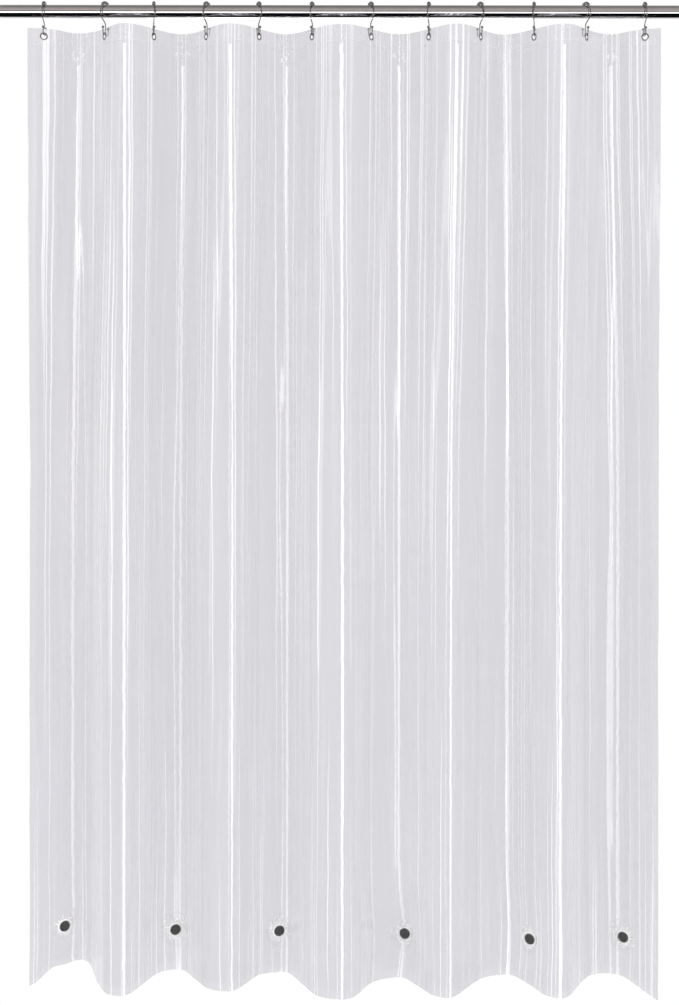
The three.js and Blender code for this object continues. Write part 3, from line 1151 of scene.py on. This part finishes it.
def open_eyelets(across, down, cell_u, cell_v, eyelet_down):
    """Moves the grid out from each eyelet, to leave a round hole; returns what is inside."""
    shape = film()
    hole = sizes().eyelet_hole + 1.0 * MM
    inside = np.zeros(across.shape, bool)
    for place in shape.eyelets:
        a, b = (across - place), (down - eyelet_down)
        ring = np.maximum(np.abs(a) / cell_u, np.abs(b) / cell_v)
        near = ring < MORPH_CELLS
        inside |= ring < HOLE_CELLS - 0.5
        turn = np.arctan2(b[near], a[near])
        radius = hole + (ring[near] - HOLE_CELLS) * cell_v
        t = eased((ring[near] - HOLE_CELLS) / (MORPH_CELLS - HOLE_CELLS))
        a_new = radius * np.cos(turn) * (1 - t) + a[near] * t
        b_new = radius * np.sin(turn) * (1 - t) + b[near] * t
        across[near] = place + a_new
        down[near] = eyelet_down + b_new
    return inside


def shell_faces(columns, rows, skip):
    """Quads of a grid, skipping those that touch a skipped vertex, and their open edges."""
    ids = np.arange(columns * rows).reshape(columns, rows)
    corners = [ids[:-1, :-1], ids[:-1, 1:], ids[1:, 1:], ids[1:, :-1]]
    quads = np.stack(corners, -1).reshape(-1, 4)
    quads = quads[~skip.ravel()[quads].any(1)]
    edges = np.concatenate([quads[:, [i, (i + 1) % 4]] for i in range(4)])
    code = edges[:, 0].astype(np.int64) * columns * rows + edges[:, 1]
    back = edges[:, 1].astype(np.int64) * columns * rows + edges[:, 0]
    return quads, edges[~np.isin(code, back)]


def closed_shell(front, back, skip):
    """Points and faces of a thin closed shell between two grids of points."""
    columns, rows = front.shape[:2]
    quads, rim = shell_faces(columns, rows, skip)
    shift = columns * rows
    sides = np.stack([rim[:, 1], rim[:, 0], rim[:, 0] + shift, rim[:, 1] + shift], -1)
    faces = np.concatenate([quads, quads[:, ::-1] + shift, sides])
    points = np.concatenate([front.reshape(-1, 3), back.reshape(-1, 3)])
    used = np.zeros(len(points), bool)
    used[faces.ravel()] = True
    remap = np.cumsum(used) - 1
    return points[used], remap[faces], used


def on_shell(grid, part, used):
    """A grid's values for the points of a closed shell, whose two sides share them."""
    side = grid[part].reshape(-1, *grid.shape[2:])
    return np.concatenate([side, side])[used]


def bend_over_crest(piece, k):
    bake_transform(piece)


# ---------------------------------------------------------------- turned and swept pieces


def spokes_round(axis, sides):
    """Unit directions at even turns about an axis."""
    side = np.cross(axis, [0, 0, 1.0])
    if np.linalg.norm(side) < 1e-6:
        side = np.array([1.0, 0, 0])
    side /= np.linalg.norm(side)
    up = np.cross(side, axis)
    angles = np.arange(sides) / sides * 2 * math.pi
    return np.cos(angles)[:, None] * side + np.sin(angles)[:, None] * up


def turned_ring(section, centre, axis, sides):
    """A closed section of (radius, height) points turned about an axis through centre."""
    axis = np.asarray(axis, float)
    spokes = spokes_round(axis, sides)
    section = np.asarray(section, float)
    points = centre + spokes[:, None, :] * section[None, :, 0:1] + axis * section[None, :, 1:2]
    count = len(section)
    faces = []
    for i in range(sides):
        for j in range(count):
            here, there, m = i * count, (i + 1) % sides * count, (j + 1) % count
            faces.append((here + j, here + m, there + m, there + j))
    return points.reshape(-1, 3), faces


def turned_solid(section, centre, axis, sides):
    """A section that runs from the axis round to the axis again, turned into a solid."""
    axis = np.asarray(axis, float)
    spokes = spokes_round(axis, sides)
    inner = np.asarray(section[1:-1], float)
    rings = centre + spokes[:, None, :] * inner[None, :, 0:1] + axis * inner[None, :, 1:2]
    poles = [centre + axis * section[0][1], centre + axis * section[-1][1]]
    points = np.vstack([rings.reshape(-1, 3), *poles])
    count = len(inner)
    first, last = sides * count, sides * count + 1
    faces = []
    for i in range(sides):
        n = (i + 1) % sides
        for j in range(count - 1):
            faces.append((i * count + j, i * count + j + 1, n * count + j + 1, n * count + j))
        faces.append((first, i * count, n * count))
        faces.append((i * count + count - 1, last, n * count + count - 1))
    return points, faces


def outward(made):
    """Turns a closed mesh's faces to point outwards."""
    work = bmesh.new()
    work.from_mesh(made.data)
    bmesh.ops.recalc_face_normals(work, faces=work.faces)
    work.to_mesh(made.data)
    work.free()
    return made


# ---------------------------------------------------------------- hooks


# The hook's outline in its own plane. Heights are from the rod's middle.
ARCH_REAR_TURN = math.radians(78)
ARCH_CENTRE = -6.4 * MM
STEM_TOP = -29 * MM
HANGER_CENTRE = -40 * MM
HANGER_RADIUS = 6 * MM
TIP_RISE = 8.5 * MM
# How far each hook is turned, in degrees, about the upright line through its eyelet.
HOOK_TURNS = (0, -16, 10, -16, 16, -10, 16, -10, 16, -10, 16, 0)


def curve_between(points, count):
    a, b, c, d = (np.array(p, float) for p in points)
    return cubic(np.linspace(0, 1, count)[:, None], a, b, c, d)


def arc(centre, radius, start, end, count):
    turns = np.linspace(start, end, count)
    return np.stack([centre[0] + radius * np.sin(turns), centre[1] + radius * np.cos(turns)], -1)


def hook_lines():
    """The hook's two wires in its own plane, as (y, z) points."""
    size = sizes()
    radius = size.arch_radius
    swoop = (ARCH_CENTRE + STEM_TOP) / 2
    arch = arc((0, ARCH_CENTRE), radius, ARCH_REAR_TURN, -math.pi / 2, 44)
    bends = [(-radius, ARCH_CENTRE), (-radius, swoop), (0, swoop), (0, STEM_TOP)]
    sway = curve_between(bends, 22)
    stem = np.array([(0, STEM_TOP), (0, HANGER_CENTRE)])
    near, far = math.pi / 2, 3 * math.pi / 2
    front_bend = arc((-HANGER_RADIUS, HANGER_CENTRE), HANGER_RADIUS, near, far, 18)
    front_rise = np.array([(-2 * HANGER_RADIUS, HANGER_CENTRE + TIP_RISE)])
    main = np.vstack([arch, sway[1:], stem[1:], front_bend[1:], front_rise])
    rear_bend = arc((HANGER_RADIUS, HANGER_CENTRE), HANGER_RADIUS, -near, -far, 18)
    rear_rise = np.array([(2 * HANGER_RADIUS, HANGER_CENTRE + TIP_RISE)])
    return main, np.vstack([rear_bend, rear_rise])


def on_hook(k, points):
    """(y, z) points of a hook's own plane, turned and set in place on hook k."""
    points = np.asarray(points, float)
    x, y = GROMMETS[k][0], GROMMETS[k][1]
    turn = math.radians(HOOK_TURNS[k])
    aside = points[:, 0] - y
    return np.stack([x - math.sin(turn) * aside, y + math.cos(turn) * aside, points[:, 1]], -1)


def bead_section():
    """Half outline of a roller bead: a rounded barrel with small flats round its hole."""
    size = sizes()
    reach = size.bead_pitch / 2 - 0.12 * MM
    hole = size.wire_radius + 0.12 * MM
    widest = math.radians(78)
    outline = []
    for turn in np.radians(np.linspace(-78, 78, 17)):
        barrel = size.bead_radius * math.cos(turn) ** 0.8
        outline.append((barrel, reach * math.sin(turn) / math.sin(widest)))
    return [(hole, -reach), *outline, (hole, reach)]


# ---------------------------------------------------------------- operators


class CURTAIN_OT_rod(bpy.types.Operator):
    """Build the chromed tube that the hooks run on"""

    bl_idname = "curtain.rod"
    bl_label = "Rod"

    def execute(self, context):
        size = sizes()
        centre = (ROD_LOW + ROD_HIGH) / 2
        outer, wall, half = size.rod_radius, size.rod_wall, (ROD_HIGH[0] - ROD_LOW[0]) / 2
        lip = 0.3 * MM
        section = [
            (outer - wall, -half + lip),
            (outer - wall + lip, -half),
            (outer - lip, -half),
            (outer - lip * 0.3, -half + lip * 0.3),
            (outer, -half + lip),
        ]
        section += [(outer, x) for x in np.linspace(-half + 10 * MM, half - 10 * MM, 40)]
        section += [
            (outer, half - lip),
            (outer - lip * 0.3, half - lip * 0.3),
            (outer - lip, half),
            (outer - wall + lip, half),
            (outer - wall, half - lip),
        ]
        points, faces = turned_ring(section, centre, (1.0, 0, 0), 96)
        rod = outward(mesh_object("rod_tube", points, faces, finish_named("rod")))
        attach(rod, "rod")
        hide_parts("rod")
        return {"FINISHED"}


class CURTAIN_OT_hooks(bpy.types.Operator):
    """Build the twelve wire hooks with their ball tips"""

    bl_idname = "curtain.hooks"
    bl_label = "Hooks"

    def execute(self, context):
        size = sizes()
        main, rear = hook_lines()
        for k in range(HOOK_COUNT):
            points = np.vstack([on_hook(k, main), on_hook(k, rear)])
            edges = [(i, i + 1) for i in range(len(main) - 1)]
            edges += [(len(main) + i, len(main) + i + 1) for i in range(len(rear) - 1)]
            tips = np.zeros(len(points))
            tips[[len(main) - 1, len(points) - 1]] = 1.0
            line = point_line("hook_line", points, edges, tip=tips)
            hook = grow(
                tree_named("wire"),
                numbered("hook_wire", k + 1),
                line,
                Radius=size.wire_radius,
                Sides=16,
                Tip_Radius=size.tip_radius,
                Material=finish_named("hook"),
            )
            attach(hook, numbered("hook", k + 1))
            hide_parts(numbered("hook", k + 1))
        return {"FINISHED"}


class CURTAIN_OT_rollers(bpy.types.Operator):
    """Build the roller beads that each hook runs along the rod on"""

    bl_idname = "curtain.rollers"
    bl_label = "Rollers"

    def execute(self, context):
        size = sizes()
        points, faces = turned_ring(bead_section(), np.zeros(3), (0, 0, 1.0), 28)
        bead = outward(mesh_object("bead_pattern", points, faces, finish_named("hook")))
        half = size.bead_pitch / size.arch_radius * (size.bead_count - 1) / 2
        for k in range(HOOK_COUNT):
            run = arc((0, ARCH_CENTRE), size.arch_radius, half, -half, 41)
            line = point_line("roller_line", on_hook(k, run), [(i, i + 1) for i in range(40)])
            rollers = grow(
                tree_named("rollers"),
                numbered("roller_beads", k + 1),
                line,
                Count=size.bead_count,
                Bead=bead,
                Material=finish_named("hook"),
            )
            node_name = numbered("rollers", k + 1)
            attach(rollers, body_of_node(node_name))
            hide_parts(node_name)
        bpy.data.objects.remove(bead)
        return {"FINISHED"}


class CURTAIN_OT_eyelets(bpy.types.Operator):
    """Build the pressed metal eyelets in the header"""

    bl_idname = "curtain.eyelets"
    bl_label = "Eyelets"

    def execute(self, context):
        size = sizes()
        hole, outer = size.eyelet_hole, size.eyelet_outer
        gap = 0.32 * MM
        flange = [
            (hole + 0.04 * MM, 0.50 * MM),
            (hole + 0.30 * MM, 0.78 * MM),
            (hole + 0.75 * MM, 0.90 * MM),
            (hole + 1.25 * MM, 0.86 * MM),
            (outer - 0.55 * MM, 0.70 * MM),
            (outer - 0.18 * MM, 0.54 * MM),
            (outer, 0.42 * MM),
            (outer - 0.05 * MM, gap),
            (hole + 0.6 * MM, gap),
        ]
        section = [(hole, 0.0), *flange, *[(r, -h) for r, h in flange[::-1]]]
        for k in range(HOOK_COUNT):
            axis = np.array([math.sin(SLOPES[k]), -math.cos(SLOPES[k]), 0.0])
            points, faces = turned_ring(section, GROMMETS[k], axis, 56)
            name = numbered("eyelet", k + 1)
            eyelet = outward(mesh_object(name, points, faces, finish_named("eyelet")))
            node_name = numbered("grommet", k + 1)
            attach(eyelet, body_of_node(node_name))
            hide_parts(node_name)
        return {"FINISHED"}


class CURTAIN_OT_film(bpy.types.Operator):
    """Build the clear film, one piece for each fold, joined edge to edge"""

    bl_idname = "curtain.film"
    bl_label = "Film"

    def execute(self, context):
        shape = film()
        columns, cell_u, borders = film_columns()
        rows, cell_v, eyelet_down = film_rows()
        across, down = (grid.copy() for grid in np.meshgrid(columns, rows, indexing="ij"))
        inside = open_eyelets(across, down, cell_u, cell_v, eyelet_down)
        middle = shape.point(across, down)
        normal = shape.frontward(across, down)
        half = shape.half_thickness(across, down)[..., None]
        front, back = middle + normal * half, middle - normal * half
        fold_place, band = shape.fold_place(across, down), shape.band(across, down)
        marks = np.stack([across / shape.width, 1 - down / FILM_DROP], -1)
        for k in range(HOOK_COUNT - 1):
            part = slice(borders[k], borders[k + 1] + 1)
            points, faces, used = closed_shell(front[part], back[part], inside[part])
            fold = mesh_object(numbered("film_fold", k + 1), points, faces, finish_named("film"))
            set_map(fold, "film_map", on_shell(marks, part, used))
            set_attribute(fold, "fold", on_shell(fold_place, part, used))
            set_attribute(fold, "band", on_shell(band, part, used))
            bend_over_crest(fold, k)
            stands_for = [numbered("film_panel", k + 1)]
            if k == HOOK_COUNT - 2:
                stands_for.append(numbered("film_panel", HOOK_COUNT))
            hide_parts(*stands_for)
        return {"FINISHED"}


class CURTAIN_OT_magnets(bpy.types.Operator):
    """Build the disc magnets near the hem"""

    bl_idname = "curtain.magnets"
    bl_label = "Magnets"

    def execute(self, context):
        size = sizes()
        radius, half = size.magnet_radius, size.magnet_thickness / 2
        face = [(0.0, half), (radius * 0.5, half), (radius - 1.3 * MM, half)]
        edge = [
            (radius - 0.9 * MM, half - 0.02 * MM),
            (radius - 0.35 * MM, half - 0.14 * MM),
            (radius - 0.1 * MM, half - 0.38 * MM),
            (radius, half - 0.7 * MM),
        ]
        upper = face + edge
        section = upper + [(r, -h) for r, h in upper[::-1]]
        for k, magnet in enumerate(film().magnets):
            points, faces = turned_solid(section, magnet["centre"], magnet["front"], 64)
            name = numbered("hem_magnet", k + 1)
            disc = outward(mesh_object(name, points, faces, finish_named("magnet")))
            away = points - magnet["centre"]
            off_axis = away - (away @ magnet["front"])[:, None] * magnet["front"]
            rim = eased((np.linalg.norm(off_axis, axis=1) - (radius - 1.4 * MM)) / (0.5 * MM))
            set_attribute(disc, "rim", rim)
            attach(disc, body_of_node(magnet["name"]))
            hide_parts(magnet["name"])
        return {"FINISHED"}


def pocket_point(magnet, radius, turn, rise):
    """A point of a pocket: on the film's front, radius out from the magnet, and rise off it."""
    shape = film()
    across = magnet["across"] + radius * np.cos(turn)
    down = np.minimum(magnet["down"] + radius * np.sin(turn), FILM_DROP - 1 * MM)
    at = shape.point(across, down)
    off = shape.half_thickness(across, down) + rise
    return at + shape.frontward(across, down) * off[..., None]


def crest_of(magnet):
    return int(np.argmin([abs(place - magnet["across"]) for place in film().crests]))


# Radii of the rings of a pocket's cover, in millimetres.
POCKET_RINGS = (
    *(0.2, 2.5, 5, 7.5, 9.3, 10.4, 10.9, 11.3, 11.8, 12.4, 13.2, 14.5),
    *(16.5, 19, 22, 25, 28, 30, 31, 31.8, 32.5, 33.2, 34),
)
POCKET_TURNS = 72
POCKET_FILM = 0.1 * MM
SPECK_RADIUS = 0.85 * MM
WELD_POINTS = 160


class CURTAIN_OT_pockets(bpy.types.Operator):
    """Build the clear covers that hold the magnets, with their welds"""

    bl_idname = "curtain.pockets"
    bl_label = "Magnet pockets"

    def execute(self, context):
        size = sizes()
        turns = np.arange(POCKET_TURNS) / POCKET_TURNS * 2 * math.pi
        over = size.magnet_thickness + 0.95 * MM
        edge = size.magnet_radius
        radii = np.array(POCKET_RINGS) * MM
        tented = 1 - eased((radii - edge * 1.06) / (0.45 * edge))
        ridge = bell(radii, size.pocket_radius, 0.9 * MM)
        rise = 0.12 * MM + over * tented + 0.35 * MM * ridge
        haze = bell(radii, edge * 1.27, 1.35 * MM) + ridge * 0.12
        haze = haze + bell(radii, edge * 1.8, 4.5 * MM) * 0.15
        for k, magnet in enumerate(film().magnets):
            ring, turn = np.meshgrid(radii, turns, indexing="ij")
            height = np.broadcast_to(rise[:, None], ring.shape)
            outer = pocket_point(magnet, ring, turn, height)
            inner = pocket_point(magnet, ring, turn, height - POCKET_FILM)
            points, faces = capped_disc(outer, inner)
            name = numbered("pocket_cover", k + 1)
            cover = outward(mesh_object(name, points, faces, finish_named("pocket")))
            layer = np.concatenate([[haze[0]], np.repeat(haze, len(turns))])
            set_attribute(cover, "haze", np.concatenate([layer, layer]))
            specks, strays = self.specks(magnet, k), self.stray_specks(magnet, k)
            pieces = [cover, specks, strays, self.weld_ring(magnet, k)]
            for piece in pieces:
                bend_over_crest(piece, crest_of(magnet))
            numbered("film_fold", crest_of(magnet) + 1)
        return {"FINISHED"}

    def specks(self, magnet, k):
        """Cream specks round the magnet, where the film was pressed down."""
        name = numbered("pocket_specks", k + 1)
        return self.speck_field(magnet, name, 11 + k, 9 * MM, (0.0, 1.0), 110000.0)

    def stray_specks(self, magnet, k):
        """Fewer specks, strewn further out round half the magnet."""
        name = numbered("pocket_strays", k + 1)
        return self.speck_field(magnet, name, 31 + k, 19 * MM, (0.5, 1.06), 30000.0)

    def speck_field(self, magnet, name, seed, reach, ends, density):
        """Specks strewn over a ring round the magnet, between two ends in turns."""
        size = sizes()
        radii = np.linspace(size.magnet_radius * 1.2, size.magnet_radius * 1.2 + reach, 7)
        turns = np.linspace(*ends, 60) * 2 * math.pi
        ring, turn = np.meshgrid(radii, turns, indexing="ij")
        grid = pocket_point(magnet, ring, turn, np.full(ring.shape, 0.15 * MM))
        quads, _ = shell_faces(len(radii), len(turns), np.zeros(ring.shape, bool))
        base = mesh_object("speck_field", grid.reshape(-1, 3), quads, None)
        return grow(
            tree_named("specks"),
            name,
            base,
            Density=density,
            Seed=seed,
            Speck_Radius=SPECK_RADIUS,
            Material=finish_named("weld"),
        )

    def weld_ring(self, magnet, k):
        """Pressed dots along the round weld of the pocket."""
        size = sizes()
        turns = np.arange(WELD_POINTS) / WELD_POINTS * 2 * math.pi
        ring, rise = np.full(WELD_POINTS, size.pocket_radius), np.full(WELD_POINTS, 0.5 * MM)
        line = pocket_point(magnet, ring, turns, rise)
        edges = [(i, (i + 1) % WELD_POINTS) for i in range(WELD_POINTS)]
        return grow(
            tree_named("dots"),
            numbered("pocket_weld", k + 1),
            point_line("weld_line", line, edges),
            Spacing=3.2 * MM,
            Dot_Radius=0.45 * MM,
            Material=finish_named("weld"),
        )


def capped_disc(outer, inner):
    """Points and faces of a thin closed disc between two grids of (ring, turn) points."""
    rings, turns = outer.shape[:2]
    layers = []
    for grid in (outer, inner):
        layers.append(np.vstack([grid[0].mean(0), grid.reshape(-1, 3)]))
    shift = len(layers[0])
    faces = []
    for i in range(turns):
        n = (i + 1) % turns
        faces.append((0, 1 + i, 1 + n))
        faces.append((shift, shift + 1 + n, shift + 1 + i))
        for r in range(rings - 1):
            a, b = 1 + r * turns + i, 1 + r * turns + n
            c, d = 1 + (r + 1) * turns + n, 1 + (r + 1) * turns + i
            faces.append((a, d, c, b))
            faces.append((shift + a, shift + b, shift + c, shift + d))
        a, b = 1 + (rings - 1) * turns + i, 1 + (rings - 1) * turns + n
        faces.append((a, shift + a, shift + b, b))
    return np.vstack(layers), faces


# ---------------------------------------------------------------- stage


EYE = Vector((0.0, -2.9, -0.551))
LENS = 54.06  # focal length in millimetres, on a sensor 36 mm wide
SHIFT = -0.2029  # upward shift of the view, as a share of the sensor
EYE_ROLL = math.radians(-0.06)


def softbox(name, place, aim, width, height, radiance, receivers=None, shines="both"):
    """A large soft light of the given radiance, aimed at a point. shines: both, gloss or matt."""
    data = bpy.data.lights.new(name, "AREA")
    data.shape, data.size, data.size_y = "RECTANGLE", width, height
    data.energy = radiance * math.pi * width * height
    made = new_object(name, data)
    made.location = place
    made.rotation_mode = "QUATERNION"
    made.rotation_quaternion = (Vector(aim) - Vector(place)).to_track_quat("-Z", "Y")
    made.visible_camera = False
    made.visible_diffuse = shines != "gloss"
    made.visible_glossy = shines != "matt"
    if receivers is not None:
        made.light_linking.receiver_collection = receivers
    return made


def receivers_of(name, stems):
    """A collection of the pieces that a light is for."""
    group = bpy.data.collections.new(name)
    for made in bpy.context.scene.objects:
        if made.name.startswith(stems) and made.type == "MESH" and "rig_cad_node" not in made:
            group.objects.link(made)
    return group


class CURTAIN_OT_stage(bpy.types.Operator):
    """Build the floor, the soft studio light and the camera"""

    bl_idname = "curtain.stage"
    bl_label = "Stage"

    def execute(self, context):
        self.floor()
        self.surroundings()
        self.lights()
        self.camera()
        scene = bpy.context.scene
        scene.view_settings.view_transform = "Standard"
        scene.cycles.transparent_max_bounces = 64
        scene.cycles.max_bounces = 12
        return {"FINISHED"}

    def floor(self):
        half, level = 14.0, FILM_BOTTOM - 0.09
        corners = [(-half, -half), (half, -half), (half, half), (-half, half)]
        points = [(x, y, level) for x, y in corners]
        floor = mesh_object("studio_floor", points, [(0, 1, 2, 3)], finish_named("floor"))
        for kind in ("diffuse", "glossy", "transmission", "shadow"):
            setattr(floor, "visible_" + kind, False)

    def surroundings(self):
        """White to the eye; to whatever mirrors it, a warm grey room with white behind."""
        world = bpy.data.worlds.new("studio")
        bpy.context.scene.world = world
        world.use_nodes = True
        tree = world.node_tree
        tree.nodes.clear()
        way = node(tree, "ShaderNodeTexCoord").outputs["Generated"]
        parts = node(tree, "ShaderNodeSeparateXYZ", {"Vector": way}).outputs
        up = parts["Z"]
        height = spread(tree, up, 0.0, 1.0, -1.0, 1.0)
        room = ramp(
            tree,
            height,
            [
                (0.0, (0.004, 0.004, 0.005)),
                (0.40, (0.006, 0.006, 0.007)),
                (0.44, (0.16, 0.15, 0.148)),
                (0.54, (0.34, 0.315, 0.31)),
                (0.70, (0.52, 0.475, 0.465)),
                (0.93, (0.36, 0.33, 0.32)),
                (1.0, (0.20, 0.19, 0.18)),
            ],
        )
        behind = maths(
            tree,
            "MULTIPLY",
            spread(tree, parts["Y"], 0.0, 1.0, 0.35, 0.7),
            spread(tree, up, 1.0, 0.0, -0.1, 0.1),
        )
        rays = node(tree, "ShaderNodeLightPath").outputs

        def shade(colour, strength):
            inputs = {"Color": colour, "Strength": strength}
            return node(tree, "ShaderNodeBackground", inputs).outputs[0]

        def either(factor, first, second):
            inputs = {0: factor, 1: first, 2: second}
            return node(tree, "ShaderNodeMixShader", inputs).outputs[0]

        white = (1.0, 1.0, 1.0, 1.0)
        mirrored = either(behind, shade(room, 1.0), shade(white, 0.9))
        matt = either(rays["Is Diffuse Ray"], mirrored, shade(white, 1.25))
        seen = either(rays["Is Camera Ray"], matt, shade(white, 1.0))
        node(tree, "ShaderNodeOutputWorld", {"Surface": seen})

    def lights(self):
        sheets = receivers_of("film_and_pockets", ("film_", "pocket_", "hem_"))
        metal = receivers_of("metalwork", ("rod_", "hook_", "roller_", "eyelet"))
        front = (0, -3.0, -1.3)
        softbox("front_line", front, (0, 0, -1.3), 0.5, 4.6, 4.5, sheets, "gloss")
        softbox("rear_box", (0, 3.4, -1.0), (0, 0, -1.0), 1.6, 3.4, 3.0, shines="gloss")
        softbox("left_box", (-3.2, -1.2, -0.6), (0, 0, -0.9), 0.8, 3.0, 2.2, shines="gloss")
        softbox("right_box", (3.2, -1.2, -0.6), (0, 0, -0.9), 0.8, 3.0, 2.2, shines="gloss")
        softbox("rod_strip", (0, -2.6, -0.95), (0, 0, 0), 5.0, 0.9, 2.8, metal)

    def camera(self):
        data = bpy.data.cameras.new("camera")
        data.lens, data.sensor_width = LENS, 36.0
        data.shift_y = SHIFT
        data.clip_start, data.clip_end = 0.05, 100.0
        made = new_object("camera", data)
        made.location = EYE
        made.rotation_euler = (math.radians(90), EYE_ROLL, 0.0)
        bpy.context.scene.camera = made


# ---------------------------------------------------------------- the add-on


STEPS = (
    CURTAIN_OT_rod,
    CURTAIN_OT_hooks,
    CURTAIN_OT_rollers,
    CURTAIN_OT_eyelets,
    CURTAIN_OT_film,
    CURTAIN_OT_magnets,
    CURTAIN_OT_pockets,
    CURTAIN_OT_stage,
)


class CURTAIN_PT_panel(bpy.types.Panel):
    """The curtain's pieces, sizes and colours"""

    bl_label = "Shower curtain"
    bl_idname = "CURTAIN_PT_panel"
    bl_space_type = "VIEW_3D"
    bl_region_type = "UI"
    bl_category = "Curtain"

    def draw(self, context):
        layout = self.layout
        for step in STEPS:
            layout.operator(step.bl_idname)
        for group in (context.scene.curtain_sizes, context.scene.curtain_colours):
            box = layout.box()
            for name in type(group).__annotations__:
                box.prop(group, name)


CLASSES = (CurtainSizes, CurtainColours, *STEPS, CURTAIN_PT_panel)


def register():
    for kind in CLASSES:
        bpy.utils.register_class(kind)
    bpy.types.Scene.curtain_sizes = PointerProperty(type=CurtainSizes)
    bpy.types.Scene.curtain_colours = PointerProperty(type=CurtainColours)


def unregister():
    del bpy.types.Scene.curtain_sizes
    del bpy.types.Scene.curtain_colours
    for kind in reversed(CLASSES):
        bpy.utils.unregister_class(kind)


def main():
    register()
    bpy.ops.curtain.rod()
    bpy.ops.curtain.hooks()
    bpy.ops.curtain.rollers()
    bpy.ops.curtain.eyelets()
    bpy.ops.curtain.film()
    bpy.ops.curtain.magnets()
    bpy.ops.curtain.pockets()
    bpy.ops.curtain.stage()
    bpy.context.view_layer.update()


if __name__ == "__main__":
    main()
